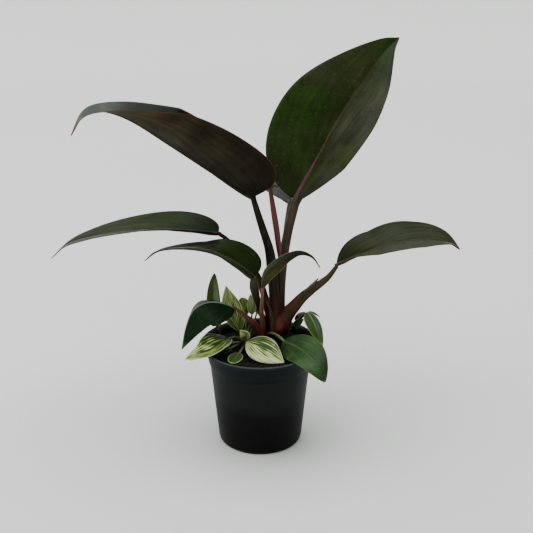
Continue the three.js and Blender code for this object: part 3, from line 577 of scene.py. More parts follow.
LEAVES = {
    "upright_leaf": dict(
        spine=[(34, 36, 225), (52, 47, 260), (73, 60, 297), (98, 72, 332), (115, 78, 355), (127, 80, 366)],
        face=(-0.35, -0.85, 0.3), half=(55, 51), fold=(16, [65, 45, 38, 32, 32]), curl=-10, widest=0.38,
        tip=1.04, lobe=9, wave=0.6, rows=90, columns=24, foot=2, keel=1.6, skin=BRONZE, slot="dark_leaf"),
    "upper_left_leaf": dict(
        spine=[(-6, 12, 235), (-37, 4, 258), (-73, -4, 285), (-110, -10, 311), (-136, -13, 320),
               (-151, -15, 316), (-160, -16, 299)],
        face=((0.4, 0.3, 0.9), (-0.3, 0, 0.95)), half=45, fold=([45, 41, 46, 14, -35], [40, 36, 50, 20, -5]),
        curl=([30, 25, 10, 0, 0], [30, 28, 12, 4, 0]), widest=0.27, lobe=22, rows=90, columns=24, foot=2,
        keel=1.6, skin=BROWN_UNDER, slot="dark_leaf"),
    "rear_leaf": dict(
        spine=[(27, 40, 222), (9, 58, 230), (-10, 76, 238), (-31, 92, 244), (-51, 104, 250), (-68, 112, 254)],
        face=(0, 0, 1), half=26, fold=(30, 18), curl=-16, wave=0.6, skin=REAR_GREY, slot="dark_leaf"),
    "mid_left_leaf": dict(
        spine=[(-39, 48, 188), (-82, 54, 190), (-127, 60, 186), (-162, 65, 179), (-186, 69, 170),
               (-204, 72, 154)],
        face=(0, 0, 1), half=32, fold=([30, 26, 18, 2], [25, 22, 18, 13]), curl=-16, widest=0.3, tip=0.98,
        rows=80, columns=20, foot=1.6, keel=1.2, skin=GREY, slot="dark_leaf"),
    "low_left_leaf": dict(
        spine=[(-6, 12, 157), (-23, 17, 168), (-43, 23, 177), (-68, 30, 179), (-94, 36, 175),
               (-109, 39, 164)],
        face=(0, 0, 1), half=(29, 24), fold=([45, 40, 34, 28, 22], [62, 42, 14, 8, 6]), curl=-16, widest=0.25,
        tip=1.15, lobe=4, rows=70, columns=18, skin=DEEP, slot="dark_leaf"),
    "right_leaf": dict(
        spine=[(71, 16, 169), (91, 18, 178), (117, 20, 187), (142, 22, 191), (170, 23, 189), (185, 24, 181)],
        face=(0, 0, 1), half=(36, 34), fold=([46, 19, 19, 28], [38, 18, 16, 24]), curl=-16, widest=0.52,
        tip=0.84, lobe=10, rows=70, columns=20, skin=OLIVE, slot="dark_leaf"),
    "centre_leaf": dict(
        spine=[(2, 5, 150), (6, 0, 166), (14, -5, 177), (24, -8, 186), (36, -10, 191), (47, -11, 187),
               (54, -12, 177)],
        face=((-0.7, -0.75, 0.2), (0.2, -0.9, 0.5)), half=(3.5, 7.5), fold=10, curl=-10, widest=0.3, tip=2.2,
        columns=8, foot=0.6, keel=0.5, skin=YOUNG, slot="green_leaf"),
    "small_left_leaf": dict(
        spine=[(-24, 12, 127.3), (-32.4, 8, 133.2), (-42.4, 3.6, 137), (-52.6, -1.6, 137.4),
               (-61.8, -7, 132), (-68, -11, 117.5), (-72, -14, 97)],
        face=((0, 0, 1), (-0.6, -0.75, 0.3)), half=(24.5, 19), fold=(-22, [-8, -20, -50, -60]), curl=-14,
        lobe=2, skin=SHADED, slot="green_leaf"),
    "round_leaf": dict(
        spine=[(22, 4, 97), (35, -18, 101), (46, -44, 103), (53, -54, 96), (58, -58, 86)],
        face=((-0.4, -0.35, 0.8), (0.4, -0.8, 0.35)), half=16.2, fold=8, curl=-10, widest=0.47, tip=0.88,
        lobe=2, skin=GREEN, slot="green_leaf"),
    "right_small_leaf": dict(
        spine=[(45.5, 26, 115.4), (49.2, 18, 112.4), (53.8, 4, 105.2), (58.2, -4, 95.4)],
        face=((0.2, -0.3, 1), (0.5, -0.5, 0.5)), half=(6, 9.5), fold=(14, 12), curl=-10, widest=0.42, tip=0.9,
        lobe=2, rows=40, columns=10, foot=0.6, keel=0.5, skin=LIME, slot="green_leaf"),
    "right_back_leaf": dict(
        spine=[(45.6, 28.8, 114.8), (50.5, 30.4, 113.4), (57.2, 31, 109.8)],
        face=(0, 0, 1), half=3, fold=10, curl=0, rows=24, columns=5, foot=0.4, keel=0.4, skin=LIME,
        slot="green_leaf"),
    "right_low_leaf": dict(
        spine=[(32.3, 24.1, 103.2), (37, 21.4, 108.4), (41, 19.6, 112.2)],
        face=((-0.2, -0.7, 0.6), (-0.1, -0.6, 0.7)), half=(3, 4.4), fold=10, curl=0, tip=0.9, rows=24,
        columns=5, foot=0.4, keel=0.4, skin=GREEN, slot="green_leaf"),
    "right_dark_leaf": dict(
        spine=[(35, 34.8, 102.8), (37.6, 35.4, 107.6), (43.4, 36, 112)],
        face=((-0.3, -0.7, 0.6), (-0.1, -0.6, 0.7)), half=3, fold=10, curl=0, tip=0.8, rows=24, columns=5,
        foot=0.4, keel=0.4, skin=DEEP, slot="dark_leaf"),
    "back_left_leaf": dict(
        spine=[(-39.2, 23, 101.6), (-42, 26, 114), (-44, 29, 128), (-44, 32, 141), (-43, 34, 153)],
        face=(0, -1, 0.2), half=6.4, fold=20, curl=0, widest=0.45, tip=0.8, rows=40, columns=8, foot=0.5,
        keel=0.5, skin=SHOOT, slot="green_leaf"),
    "striped_leaf_1": dict(
        spine=[(-29, 3, 100), (-36, -15, 103), (-48, -34, 103), (-66, -45, 102)],
        face=((0, -0.2, 1), (0, -0.4, 0.9)), half=(7, 16), fold=(10, 22), curl=-10, tip=0.95, lobe=2, rows=44,
        columns=12, foot=0.5, keel=0.5, skin=STRIPED, slot="striped_leaf"),
    "striped_leaf_2": dict(
        spine=[(-12, -8, 102), (-3, -15, 101), (9, -24, 97), (22, -31, 92)],
        face=(0, -0.5, 0.85), half=(14, 13), fold=5, curl=-10, widest=0.42, lobe=1, rows=44, columns=12,
        foot=0.5, keel=0.5, skin=PALE_STRIPED, slot="striped_leaf"),
    "striped_leaf_3": dict(
        spine=[(-19, 21, 100), (-24, 23, 115), (-29, 25, 130), (-32, 27, 143)],
        face=(0, -1, 0.2), half=9.5, fold=10, curl=0, widest=0.42, lobe=1, rows=44, columns=10, foot=0.5,
        keel=0.5, skin=YELLOW_STRIPED, slot="striped_leaf"),
    "striped_leaf_4": dict(
        spine=[(-13.2, 27, 111.3), (-14.2, 29, 117.7), (-15.8, 31, 124), (-18.4, 32, 129)],
        face=(0, -1, 0.2), half=5.2, fold=10, curl=0, widest=0.62, tip=0.7, rows=28, columns=6, foot=0.4,
        keel=0.4, skin=STRIPED, slot="striped_leaf"),
    "striped_leaf_5": dict(
        spine=[(-7.7, 24.8, 114.8), (-8, 27, 123.9), (-9.2, 30, 133.4)],
        face=(0, -1, 0.2), half=4, fold=10, curl=0, widest=0.4, rows=28, columns=6, foot=0.4, keel=0.4,
        skin=YELLOW_STRIPED, slot="striped_leaf"),
    "striped_leaf_6": dict(
        spine=[(-3.2, 28, 115.3), (-2.8, 30, 123), (-5.2, 33, 129.6)],
        face=(0.6, -0.8, 0.2), half=2.8, fold=10, curl=0, rows=28, columns=5, foot=0.4, keel=0.4,
        skin=STRIPED, slot="striped_leaf"),
    "striped_leaf_7": dict(
        spine=[(-28, 0, 97), (-39, -14, 100), (-50, -29, 100), (-62, -40, 99)],
        face=((0, -0.2, 1), (0, -0.4, 0.9)), half=(5, 8), fold=(0, 10), curl=-10, lobe=1, rows=40, columns=8,
        foot=0.4, keel=0.4, skin=STRIPED, slot="striped_leaf"),
    "young_leaf": dict(
        spine=[(-15, 2.6, 100.5), (-14, 0, 105), (-18, -2, 111)],
        face=(0, -1, 0.3), half=4.5, fold=20, curl=0, rows=28, columns=6, foot=0.4, keel=0.4,
        skin=YELLOW_STRIPED, slot="green_leaf"),
    "round_soil_leaf": dict(
        spine=[(-19, -13.7, 93.2), (-22.4, -23, 92.6), (-26, -32, 91.6)],
        face=(0, -0.2, 1), half=6, fold=5, curl=-10, widest=0.5, tip=0.6, rows=28, columns=8, foot=0.4,
        keel=0.4, skin=DIM_RIMMED, slot="green_leaf"),
    "shaded_leaf": dict(
        spine=[(-27.5, -2.2, 93.1), (-33.4, -10, 93.8), (-40, -18, 92.4)],
        face=((0, -0.3, 1), (0, -0.4, 1)), half=4.6, fold=8, curl=0, rows=28, columns=6, foot=0.4, keel=0.4,
        skin=SHADED, slot="green_leaf"),
}
for node_name, leaf in LEAVES.items():
    shape_values = {key: value for key, value in leaf.items() if key not in ("skin", "slot")}
    show(f"{node_name}_blade", [blade(**shape_values)], leaf["skin"], [node_name])

# The pot: its floor, with eight drain holes on a circle about a solid hub

FLOOR, BASE_FLAT, FLOOR_RADIUS = 1.6, 36.8, 37.2
HUB, DRAIN_CIRCLE, DRAIN_RADIUS, DRAIN_HOLES = 18, 28, 3.2, 8
# Each sector of the floor has so many steps on its arcs, on its spokes and from a hole out to its sides.
ARC, SPOKE, OUTWARD = 24, 8, 4
POT_SIDES = DRAIN_HOLES * ARC

# Radius and height, up the outside, over the rolled lip and down the inside.
POT_PROFILE = [
    (BASE_FLAT, 0), (37.4, 0.12), (38.1, 0.6), (38.7, 1.3), (39.6, 4.5), (41.8, 27), (44.4, 54), (46.6, 76.6),
    (46.85, 78.5), (47.2, 79.4), (47.8, 80), (48, 80.7), (49.2, 87), (50.3, 93), (50.5, 93.8), (51.1, 94.25),
    (53.2, 94.6), (54.4, 95.2), (54.85, 96), (55, 97), (54.85, 97.6), (54.4, 98), (53.9, 98.08),
    (53.3, 98), (52.6, 97.5), (50.6, 95.7), (49.6, 94.6), (49.1, 93.4), (46.6, 80), (45.5, 78.6),
    (38.3, 4.5), (37.9, 2.2), (FLOOR_RADIUS, FLOOR),
]


def circle(radius, angles):
    """Places on a circle about the origin."""
    return np.stack([radius * np.cos(angles), radius * np.sin(angles)], -1)


def ribbon(profile, count):
    """A profile of radius and height pairs turned about the upright axis."""
    r, z = np.asarray(profile, float).T
    angle = 2 * np.pi * np.arange(count) / count
    points = np.stack([r[:, None] * np.cos(angle), r[:, None] * np.sin(angle), z[:, None] + 0 * angle], -1)
    return {"points": points.reshape(-1, 3), "faces": grid_faces(len(r), count, ring=True)}


def drained_plate(height, outer):
    """A flat ring plate from the hub to the outer radius, in sectors with a round hole in each.

    A sector's points lie on lines from the hole's circle to the sector's four sides, at (k/4)^1.5 of the way.
    """
    plates = []
    for n in range(DRAIN_HOLES):
        mid = 2 * np.pi * (n + 0.5) / DRAIN_HOLES
        swing = np.linspace(-np.pi / DRAIN_HOLES, np.pi / DRAIN_HOLES, ARC + 1) + mid
        spoke = np.linspace(HUB, outer, SPOKE + 1)
        border = np.concatenate([circle(outer, swing)[:-1], circle(spoke[::-1], swing[-1])[:-1],
                                 circle(HUB, swing[::-1])[:-1], circle(spoke, swing[0])[:-1]])
        centre = np.array([DRAIN_CIRCLE * math.cos(mid), DRAIN_CIRCLE * math.sin(mid)])
        rim = centre + DRAIN_RADIUS * unit(border - centre)
        part = np.linspace(0, 1, OUTWARD + 1)[:, None, None] ** 1.5
        flat = rim[None] * (1 - part) + border[None] * part
        points = np.concatenate([flat, np.full(flat.shape[:2] + (1,), height)], -1)
        faces = grid_faces(OUTWARD + 1, len(border), ring=True)
        plates.append({"points": points.reshape(-1, 3), "faces": faces, "rim": rim})
    return plates


def pot_parts():
    """The moulded pot: its wall and lip turned, its floor with drain holes, and the holes' walls."""
    wall = ribbon(POT_PROFILE, POT_SIDES)
    bottom = drained_plate(0.0, BASE_FLAT)
    top = drained_plate(FLOOR, FLOOR_RADIUS)
    bores = []
    for low, high in zip(bottom, top):
        rim = low["rim"]
        rims = np.stack([np.c_[rim, np.full(len(rim), height)] for height in (0.0, FLOOR)])
        bores.append({"points": rims.reshape(-1, 3), "faces": grid_faces(2, len(rim), ring=True)})
        high["points"][: len(rim), :2] = rim
    hubs = [ribbon([(HUB, height), (HUB * 0.5, height), (0, height)], POT_SIDES) for height in (0.0, FLOOR)]
    return [wall, *bottom, *top, *bores, *hubs]


# Patches of dust, which also break up the painted shade's edge, and the moulded grain, in millimetres. The
# real grain of 0.1 mm is too fine to show, and is drawn coarser.
DUST_AND_SHADE_PATCH, MOULDED_GRAIN = 33.3, 1.11
# Heights in millimetres: painted shade keeps the wall black below, and it is lighter above. Then come the
# painted shade ring under the band, the band, and the painted highlight on the lip's edge.
SHADE_FADES_OVER, SHADE_EDGE_DRIFT = (52, 70), 30
RING, BAND, LIP_HIGHLIGHT = (77.6, 78.6), (79.8, 80.6), (96.6, 97.8)


def pot_skin():
    """Black plastic with painted shade, black below and lighter above, a blue-grey band and a painted
    highlight on the lip.
    """
    made, node = material("moulded_black_polypropylene", IOR=1.46, Specular_IOR_Level=0.1)
    solid = node("TexCoord", out="Object")
    cloud = node("TexNoise", {"Vector": solid, "Scale": in_a_metre(DUST_AND_SHADE_PATCH), "Detail": 4.0})
    grain = node("TexNoise", {"Vector": solid, "Scale": in_a_metre(MOULDED_GRAIN), "Detail": 2.0})
    height = node("SeparateXYZ", [solid], out=2)
    drift = node("Math", [cloud, SHADE_EDGE_DRIFT * MM, height], "MULTIPLY_ADD")
    colour = node("Mix", {0: cloud, 6: "#010201", 7: "#030503"}, **COLOURS)
    # The lighter wall above the painted shade, a painted shade ring under the band, the band, and a painted
    # highlight on the lip.
    layers = [(drift, SHADE_FADES_OVER, EASED, "#141716"), (height, RING, EASED, "#020303"),
              (height, BAND, {}, "#0c1215"), (height, LIP_HIGHLIGHT, {}, "#3c4244")]
    for level, (low, high), way, over in layers:
        mask = node("MapRange", [level, low * MM, high * MM], **way)
        colour = node("Mix", {0: mask, 6: colour, 7: over}, **COLOURS)
    gloss = node("MapRange", [cloud, 0.3, 0.7, 0.46, 0.56])
    bump = node("Bump", {"Height": grain, "Strength": 0.2, "Distance": 0.1 * MM})
    return finished(made, colour, gloss, bump)


# Injection moulded polypropylene, filled with carbon black: a satin near black with soft wide highlights.
POT_SKIN = pot_skin()
show("nursery_pot", pot_parts(), POT_SKIN, ["pot"])

# The soil

# Crumbs and grit lie within this radius and keep clear of each stem's foot: its place, and the distance kept.
STREWN = 47.2
FEET = [(17, 25, 11.5), (3, 20, 4.5), (7, 16.5, 3), (29.4, 30.6, 3.5), (-37, 21, 3), (-16, 10, 4.5)]
# A crumb's rings, from pole to pole in radians, and its sides.
CRUMB_RINGS, CRUMB_SIDES = (0, 0.9, 1.7, 2.5, np.pi), 6
# Clumps in damp peat, in millimetres.
CLUMP = 2.63


def soil_skin(name, dark, light, roughness=0.95):
    """Two shades in fine clumps, with a deep rough relief."""
    made, node = material(name, IOR=1.4, Roughness=roughness)
    solid = node("TexCoord", out="Object")
    sizes = {"Scale": in_a_metre(CLUMP), "Detail": 4.0, "Roughness": 0.7}
    clumps = node("TexNoise", {"Vector": solid, **sizes})
    colour = node("Mix", {0: clumps, 6: dark, 7: light}, **COLOURS)
    bump = node("Bump", {"Height": clumps, "Strength": 0.9, "Distance": 1.5 * MM})
    return finished(made, colour, relief=bump)


def soil_height(x, y):
    """The soil's top: 90.6 at the middle, 89.2 at the wall, and heaped to 97 about the crown's foot."""
    level = np.interp(np.hypot(x, y), [0, 42, 47.9], [90.6, 90.2, 89.2])
    crown_x, crown_y, _ = FEET[0]
    near = np.hypot(x - crown_x, y - crown_y)
    heap = np.interp(near, [0, 11.5, 15, 19, 20], [97, 96.4, 93.6, 90, 87])
    return np.maximum(level, heap)


def crumbs(seed, count, sizes):
    """Lumps strewn over the soil by a seeded draw, and partly sunk: each is a six-sided ball out of round.

    A lump's points stand at its size times 1 + 0.28 n, with n drawn from the normal curve. It is stretched
    one way by 0.7 to 1.5, flattened to 0.7, and turned at random.
    """
    draw = np.random.default_rng(seed)
    r = STREWN * np.sqrt(draw.random(count * 3))
    a = draw.random(count * 3) * 2 * np.pi
    x, y = r * np.cos(a), r * np.sin(a)
    free = np.all([np.hypot(x - foot_x, y - foot_y) > clear for foot_x, foot_y, clear in FEET], axis=0)
    x, y = x[free][:count], y[free][:count]
    size = draw.uniform(*sizes, len(x)) * (0.6 + 0.8 * draw.random(len(x)) ** 3)
    polar = np.array(CRUMB_RINGS)[:, None]
    turn = 2 * np.pi * np.arange(CRUMB_SIDES) / CRUMB_SIDES
    flat, high = np.sin(polar), np.cos(polar)
    ball = np.stack([flat * np.cos(turn), flat * np.sin(turn), high + 0 * turn], -1).reshape(-1, 3)
    rough = 1 + 0.28 * draw.standard_normal((len(x), len(ball), 1))
    rough[:, :CRUMB_SIDES] = rough[:, :1]
    rough[:, -CRUMB_SIDES:] = rough[:, -1:]
    spin = draw.random(len(x))[:, None] * 2 * np.pi
    long = draw.uniform(0.7, 1.5, len(x))
    lump = ball[None] * rough * size[:, None, None]
    lump[..., 0] *= long[:, None]
    lump[..., 2] *= 0.7
    turned = np.stack([lump[..., 0] * np.cos(spin) - lump[..., 1] * np.sin(spin),
                       lump[..., 0] * np.sin(spin) + lump[..., 1] * np.cos(spin), lump[..., 2]], -1)
    place = np.stack([x, y, soil_height(x, y) + 0.25 * size], -1)
    one = grid_faces(len(CRUMB_RINGS), CRUMB_SIDES, ring=True)
    faces = one[None] + (np.arange(len(x)) * len(ball))[:, None, None]
    return {"points": (turned + place[:, None]).reshape(-1, 3), "faces": faces.reshape(-1, 4)}


# Damp potting peat, pressed by hand: almost black and matt, since the water in it swallows the light.
PEAT = soil_skin("damp_peat", "#050403", "#18140f")
# The same peat in loose crumbs, a shade warmer.
LOOSE_PEAT = soil_skin("peat_crumbs", "#050403", "#18130e")
# Dry grit and bark in the mix: pale grey-brown grains that catch the eye.
GRIT = soil_skin("pale_grit", "#4a4234", "#7d7460", 0.8)
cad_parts["soil"].data.materials.clear()
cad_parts["soil"].data.materials.append(PEAT)
show("soil_crumbs", [crumbs(3, 1900, (0.7, 1.5))], LOOSE_PEAT)
show("soil_grit", [crumbs(8, 60, (0.5, 1.0))], GRIT)

# The stalks

# A grown leaf stalk is tough and waxed: red-brown, streaked and clouded with olive, with a soft dull sheen.
CROWN_SKIN = stalk_skin("waxy_red_brown_stalk", 0.42, 0.09, 0.45, blotches=0.6)
# The papery sheath round a new leaf: a smooth clear red that shines.
SHEATH_SKIN = stalk_skin("glossy_red_sheath", 0.36, 0.3, 0.15)
# Young stalks are smooth and satin, and take their colour from their tints alone.
YOUNG_SKIN = stalk_skin("satin_young_stalk", 0.44, 0.35)

# A tint row is front, right, back and left, and the rows run from base to top. The backs are painted shade,
# and the lighter sides carry painted highlights over the stalks' own colours.
SHADE = "#1c1210"

UPRIGHT = [("#5c2a28", "#4c2422", SHADE, "#2c1715"), ("#2e2018", "#38221d", SHADE, "#1c1212"),
           ("#3c3026", "#43292a", SHADE, "#2e2826"), ("#44382f", "#40282a", SHADE, "#484044"),
           ("#44382f", "#40282a", SHADE, "#484044")]
UPPER_LEFT = [("#5a262a", "#32181a", SHADE, "#4c2e24"), ("#231413", "#190e0d", SHADE, "#2a1d17"),
              ("#190f0e", "#130c0c", SHADE, "#211914"), ("#1b1110", "#150d0c", SHADE, "#231915")]
REAR = [("#3e2522", "#3e2522", SHADE, "#3e2522"), ("#56504a", "#4c3c37", SHADE, "#5c554e")]
MID_LEFT = [("#4c2826", "#3e2120", SHADE, "#3e2422"), ("#46302c", "#33211d", SHADE, "#453029")]
LOW_LEFT = [("#190f0d", "#190f0d", SHADE, "#190f0d"), ("#241c17", "#1a1411", SHADE, "#282019"),
            ("#47442f", "#353026", SHADE, "#352a22")]
RIGHT_STALK = [("#5c3028", "#3c231c", SHADE, "#5c302a"), ("#443020", "#33231a", SHADE, "#5c3a2e"),
               ("#3e3424", "#33281c", SHADE, "#4e4432"), ("#44382a", "#382c20", SHADE, "#504230")]
DRY = [("#463628", "#33271b", SHADE, "#463628"), ("#54482e", "#33291b", SHADE, "#4b3e29")]
BULGE = [("#44201c", "#3a1c18", SHADE, "#402018"), ("#5a2a24", "#44201b", SHADE, "#4c2520"),
         ("#5c2c26", "#43201c", SHADE, "#43221c"), ("#5c2c26", "#43241c", SHADE, "#5c3428")]
# A swollen node at the crown's front, with a painted pink highlight on its front.
NODE = [("#64302a", "#4c2420", SHADE, "#40201a"), ("#84403f", "#5c2c28", SHADE, "#502620"),
        ("#643028", "#4c2622", SHADE, "#301813"), ("#3a1e18", "#3a1e18", SHADE, "#241410")]

CROWN = [
    stalk([(17.5, 26, 97), (18, 26, 122), (19.5, 27, 149), (22, 29, 172), (25.8, 31, 195), (29.5, 33, 211),
           (33, 35.6, 224)], [7.4, 5.8, 5, 4.6, 4.4, 4.3, 4.2], UPRIGHT, reach=1),
    stalk([(15, 21, 100), (13.5, 20, 132), (11, 18.5, 166), (8.5, 17, 184), (4, 15.4, 200), (-1, 13.7, 217),
           (-5.8, 12.2, 234.3)], [7, 5, 4.8, 5, 3.9, 3.3, 2.5], UPPER_LEFT, reach=1),
    stalk([(18, 30, 98.6), (20.5, 31, 130), (22.2, 33, 170), (24.6, 36, 199), (27.6, 39.4, 219.4)],
          [4.5, 2.8, 2.7, 2.4, 2.4], REAR, reach=2.4),
    stalk([(11, 30, 99.6), (8, 31, 115), (3, 33, 135), (-2, 38, 148), (-14, 44, 165), (-30, 48, 181),
           (-38.4, 48, 187.7)], [4, 4, 3.5, 3, 2.5, 2, 2], MID_LEFT, reach=1),
    stalk([(9, 23, 99.6), (4, 23.6, 108.6), (0, 21.4, 121.2), (-2.4, 18.2, 131.7), (-4.6, 15.2, 142.1),
           (-5.8, 13, 151), (-5.6, 12.3, 155.8)], [3.8, 2.9, 2.5, 2.7, 3.5, 4.3, 3.2], LOW_LEFT, reach=1),
    stalk([(19.8, 24, 103.4), (22.7, 24, 109.5), (27.4, 23, 118.2), (31.6, 22, 123.8), (40.1, 21, 134.5),
           (49.1, 19.5, 143), (57.5, 18, 150.4), (64, 17, 156.9), (69.9, 16, 166)],
          [7, 7, 6.3, 5.3, 4.6, 3.9, 3.3, 2.5, 1.9], RIGHT_STALK, reach=2, step=1.0, sides=28),
    stalk([(42, 19.6, 140.4), (49, 18, 148.4), (54.3, 17.6, 154.8)], [1.6, 1.5, 0.6],
          [("#4c3c30", "#3a2c22", SHADE, "#5c4c3c"), ("#6c5a44", "#4a3a2c", SHADE, "#7c6a52")], step=1.0),
    stalk([(18.4, 25, 101.6), (19.6, 24.4, 105.4), (21.6, 24, 110), (24.6, 23.6, 116.5)],
          [9.5, 10.2, 8.8, 5.6], BULGE, sides=32, step=1.0),
    stalk([(17.6, 20, 99), (18.2, 17.8, 105.6), (17.8, 18.2, 112.6), (17, 20, 119)], [4.4, 5.2, 4.2, 2],
          NODE, sides=28, step=1.0),
    stalk([(12.2, 16.4, 99), (11.8, 15.2, 111), (10.4, 14.4, 121), (7.4, 14.6, 131), (4.4, 15.4, 137)],
          [2.2, 2, 1.7, 1.3, 0.7], DRY),
    stalk([(17, 25, 72), (17, 25, 98)], [8.5, 8.5], [(SHADE,) * 4, (SHADE,) * 4], sides=28),
    stalk([(17, 25, 97.5), (17, 25, 112)], [8.9, 9.8, 9.3, 8, 5], BULGE[:2], sides=28),
]
NECKS = [
    neck(LEAVES["upright_leaf"], 4.3,
         [UPRIGHT[-1], ("#543430", "#4c2c2a", SHADE, "#4b3431"), ("#3e3d2c",) * 4]),
    neck(LEAVES["upper_left_leaf"], 2.5, [UPPER_LEFT[-1], ("#2a1d17",) * 4]),
    neck(LEAVES["rear_leaf"], 2.2, [REAR[-1], ("#4a4e48",) * 4]),
    neck(LEAVES["mid_left_leaf"], 2.0, [MID_LEFT[-1], ("#46402f",) * 4]),
    neck(LEAVES["low_left_leaf"], 2.2, [LOW_LEFT[-1], ("#33381f",) * 4]),
    neck(LEAVES["right_leaf"], 1.7, [RIGHT_STALK[-1], ("#4a4a35",) * 4]),
]
show("crown", CROWN + NECKS, CROWN_SKIN, ["crown_and_stalks"])

# The sheath's backs are painted shade.
SHEATH_RED = [("#541f20", "#441a1a", "#3a181c", "#642c2a"), ("#5c2222", "#481a1a", "#3a181c", "#6c302c"),
              ("#5e2426", "#481a1c", "#3a181c", "#642a2a"), ("#2c1014", "#240c10", "#200c10", "#33141a")]
SHEATH = stalk([(19.4, 27, 164), (18.4, 24.4, 174), (17, 21.4, 187), (15.6, 18.8, 200), (13.6, 16.8, 214),
                (11, 14.6, 231.6), (9.8, 13.2, 239.8), (10.5, 12.2, 244.6), (13.3, 11.4, 246.7),
                (16.5, 10.8, 245.2)], [1.4, 2, 2.5, 2.8, 2.8, 2.8, 2.6, 2.2, 1.6, 0.7], SHEATH_RED, step=0.8)
show("sheath", [SHEATH], SHEATH_SKIN, ["red_sheath"])

# The offset stalks' backs are painted shade.
JOINT_RED = ("#7c3438", "#6c2c2e", "#33160f", "#7c3838")
STRAIGHT = [JOINT_RED, ("#7a3a34", "#5c2c26", "#33160f", "#74402f"),
            ("#77503a", "#54382a", "#33160f", "#7c583f"), ("#7c5c44", "#5a4232", "#33160f", "#84664c"),
            ("#8c5450", "#6a3c3a", "#33160f", "#966058")]
LEANING = [JOINT_RED, ("#70302c", "#5c2a24", "#33160f", "#7a3a30"),
           ("#744434", "#54342a", "#33160f", "#7c5040"), ("#80503c", "#5a3a2c", "#33160f", "#8c5c44")]
OFFSET = [
    stalk([(3, 20, 72), (3, 20, 97)], [2.8, 2.8], [JOINT_RED, JOINT_RED]),
    stalk([(3.2, 20, 94), (2.8, 17.4, 107), (1.6, 13.8, 119.6), (1.6, 10.6, 130.4), (2.1, 8.2, 140.4),
           (2.3, 6.4, 147.8)], [2.6, 2.8, 2.6, 1.9, 1.6, 1.6], STRAIGHT, reach=2),
    stalk([(2.8, 20, 94), (-1.4, 19.8, 102), (-8.1, 18, 110.7), (-11.8, 17, 114.9), (-16, 15.5, 119.5),
           (-23.5, 12.3, 126.9)], [2.6, 3.1, 2.9, 2.4, 1.6, 1.2], LEANING, step=1.0, reach=2),
    stalk([(2.2, 14, 116.4), (0, 13, 119.4), (-1.8, 12.6, 122.8), (-3.3, 12.4, 126.4)], [1.6, 1.3, 1, 0.7],
          [STRAIGHT[1], ("#2a1612",) * 4], step=1.0),
]
show("offset_stalks", OFFSET, YOUNG_SKIN, ["offset_stems"])

# The olive and pale stalks' backs are painted shade.
DARK_OLIVE = ("#2c2c18", "#26261a", "#1c1c12", "#2c2c18")
PALE = [DARK_OLIVE, ("#5c6636", "#4c562e", "#33381f", "#667040"),
        ("#8e9a5c", "#6c7844", "#46502c", "#96a264")]
PALE_PARTS = [
    stalk([(7, 16.5, 72), (7, 16.5, 93)], [1.5, 1.5], [DARK_OLIVE, DARK_OLIVE]),
    stalk([(7, 16.5, 90), (7.1, 16.2, 97), (9.8, 12.4, 101), (15.6, 8.4, 101), (21.8, 4.2, 97.5)],
          [1.2, 1.5, 1.6, 1.4, 1.1], [DARK_OLIVE, *PALE], step=0.8, reach=1),
]
show("pale_leaf_stalk", PALE_PARTS, YOUNG_SKIN, ["pale_stalk"])

BROWN = [("#2c1e17", "#241812", SHADE, "#2c1e17"), ("#443626", "#33281e", SHADE, "#443626")]
SIDE_SHOOT = [
    stalk([(29.4, 30.6, 72), (29.4, 30.6, 97)], [1.8, 1.8], BROWN),
    stalk([(29.4, 30.6, 95), (32.6, 31.2, 102), (38.6, 30, 109), (44.6, 27, 115)], [1.4, 1.6, 1.4, 1.1],
          BROWN, step=1.0, reach=1),
    stalk([(29.4, 30.2, 95.4), (31.6, 28, 100), (31.9, 25, 102.6)], [1.2, 1.2, 1], BROWN, step=1.0, reach=1),
    stalk([(29.4, 31, 95.4), (31.8, 33.6, 99.4), (34.6, 34.4, 102.3)], [1.2, 1.2, 1], BROWN, step=1.0,
          reach=1),
]
show("side_shoot", SIDE_SHOOT, YOUNG_SKIN, ["side_shoot_stem"])

BACK_SHOOT = [
    stalk([(-37, 21, 72), (-37, 21, 92)], [1.6, 1.6], BROWN),
    stalk([(-37, 21, 91), (-37.4, 21.4, 96), (-39, 22.6, 100.6)], [1.2, 1.4, 1.2], BROWN, step=1.0,
          reach=1.2),
]
show("back_shoot", BACK_SHOOT, YOUNG_SKIN, ["back_shoot_stem"])

STRIPED_STALKS = [
    [(-16, 10, 92), (-22, 8, 99), (-28.6, 3.6, 100)],
    [(-16, 9, 92), (-20, 4, 95.5), (-27.6, 0.4, 97)],
    [(-14, 9, 92), (-8, 1, 97), (-11.4, -7.2, 101.2)],
    [(-16, 11, 92), (-18.4, 17.5, 96.5), (-19, 20.7, 99.6)],
    [(-15, 11, 92), (-13.6, 20, 100), (-13.2, 25.6, 106), (-13, 26.4, 110.4)],
    [(-14.4, 10.6, 92), (-11, 20.6, 101), (-8.4, 25.4, 109), (-7.8, 24.6, 114)],
    [(-14, 10, 92), (-7.4, 23, 101), (-3.4, 27.4, 114.6)],
    [(-16, 9, 92), (-17, 5, 97), (-15.3, 2.8, 99.7)],
    [(-15, 8, 92), (-16, -3, 93.6), (-18.8, -13.1, 93)],
    [(-17, 9, 92), (-21, 3, 93.4), (-26.9, -1.8, 92.8)],
]
STRIPED_PARTS = [stalk([(-16, 10, 72), (-16, 10, 94)], [2.6, 2.6], [DARK_OLIVE, DARK_OLIVE])]
for points in STRIPED_STALKS:
    STRIPED_PARTS.append(stalk(points, [1.5, 1.1, 0.9], PALE, sides=12, step=1.2, reach=1))
show("striped_plant_stalks", STRIPED_PARTS, YOUNG_SKIN, ["striped_stems"])

# The floor, the light and the camera

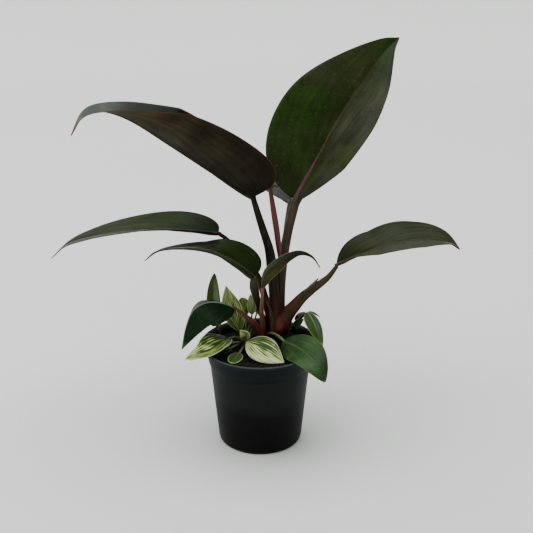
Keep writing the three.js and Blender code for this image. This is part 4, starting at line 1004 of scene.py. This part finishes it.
# Each light's name, its place, target and width in metres, and its watts.
LIGHTS = [
    ("ceiling", (-0.2, 0.7, 3.0), (-0.1, 0.6, 0), 4.6, 224.0),
    ("window", (-1.9, -0.5, 1.6), (0, 0, 0.2), 1.6, 14.0),
]
# The strength of the room's own even light.
ROOM_STRENGTH = 0.22
# The camera's place in metres, its tilt in degrees, and its lens and sensor in millimetres.
EYE, EYE_TILT, LENS, SENSOR = (0.0061, -0.886, 0.5207), 68.6, 70.9, 36
# The floor's flat rings, where its rim begins, and the rim's radius, in metres.
FLOOR_RINGS, RIM_FROM, RIM_RADIUS = (0, 0.4, 0.9, 1.4), 1.8, 0.45
RIM_POINTS, FLOOR_SIDES = 14, 96
# Clouds in the board's paint: about one in each metre.
BOARD_CLOUDS_IN_A_METRE = 1.2


def studio():
    """A pale floor with a low round rim, a broad soft light above and behind, and a window at the left."""
    # Painted board: pale, even and matt, so that shadows on it stay soft.
    made, node = material("pale_matt_board", Roughness=0.9)
    solid = node("TexCoord", out="Object")
    cloud = node("TexNoise", {"Vector": solid, "Scale": BOARD_CLOUDS_IN_A_METRE, "Detail": 2.0})
    board = finished(made, node("Mix", {0: cloud, 6: "#dfe3df", 7: "#e6e9e6"}, **COLOURS))
    turn = np.linspace(0, np.pi / 2, RIM_POINTS)
    r = np.r_[FLOOR_RINGS, RIM_FROM + RIM_RADIUS * np.sin(turn)]
    z = np.r_[np.zeros(len(FLOOR_RINGS)), RIM_RADIUS * (1 - np.cos(turn))]
    bowl = ribbon(np.c_[r, z], FLOOR_SIDES)
    mesh = bpy.data.meshes.new("floor")
    mesh.from_pydata(bowl["points"].tolist(), [], bowl["faces"].tolist())
    mesh.polygons.foreach_set("use_smooth", np.ones(len(mesh.polygons), bool))
    mesh.materials.append(board)
    floor = bpy.data.objects.new("floor", mesh)
    bpy.context.scene.collection.objects.link(floor)

    world = bpy.data.worlds.new("soft_room")
    bpy.context.scene.world = world
    world.use_nodes = True
    air = world.node_tree.nodes["Background"].inputs
    air["Color"].default_value = linear("#e2e6e4")
    air["Strength"].default_value = ROOM_STRENGTH
    for name, place, target, size, watts in LIGHTS:
        light = bpy.data.lights.new(name, "AREA")
        light.energy = watts
        light.size = size
        lamp = bpy.data.objects.new(name, light)
        lamp.location = place
        aim = np.subtract(target, place)
        lamp.rotation_euler = (math.acos(-aim[2] / np.linalg.norm(aim)), 0, math.atan2(-aim[0], aim[1]))
        bpy.context.scene.collection.objects.link(lamp)


def camera():
    """The photograph's view: 0.89 m in front, 0.52 m up, looking 21.4 degrees down through a 71 mm lens."""
    lens = bpy.data.cameras.new("camera")
    lens.lens = LENS
    lens.sensor_width = SENSOR
    eye = bpy.data.objects.new("camera", lens)
    eye.location = EYE
    eye.rotation_euler = (math.radians(EYE_TILT), 0, 0)
    bpy.context.scene.collection.objects.link(eye)
    bpy.context.scene.camera = eye


studio()
camera()
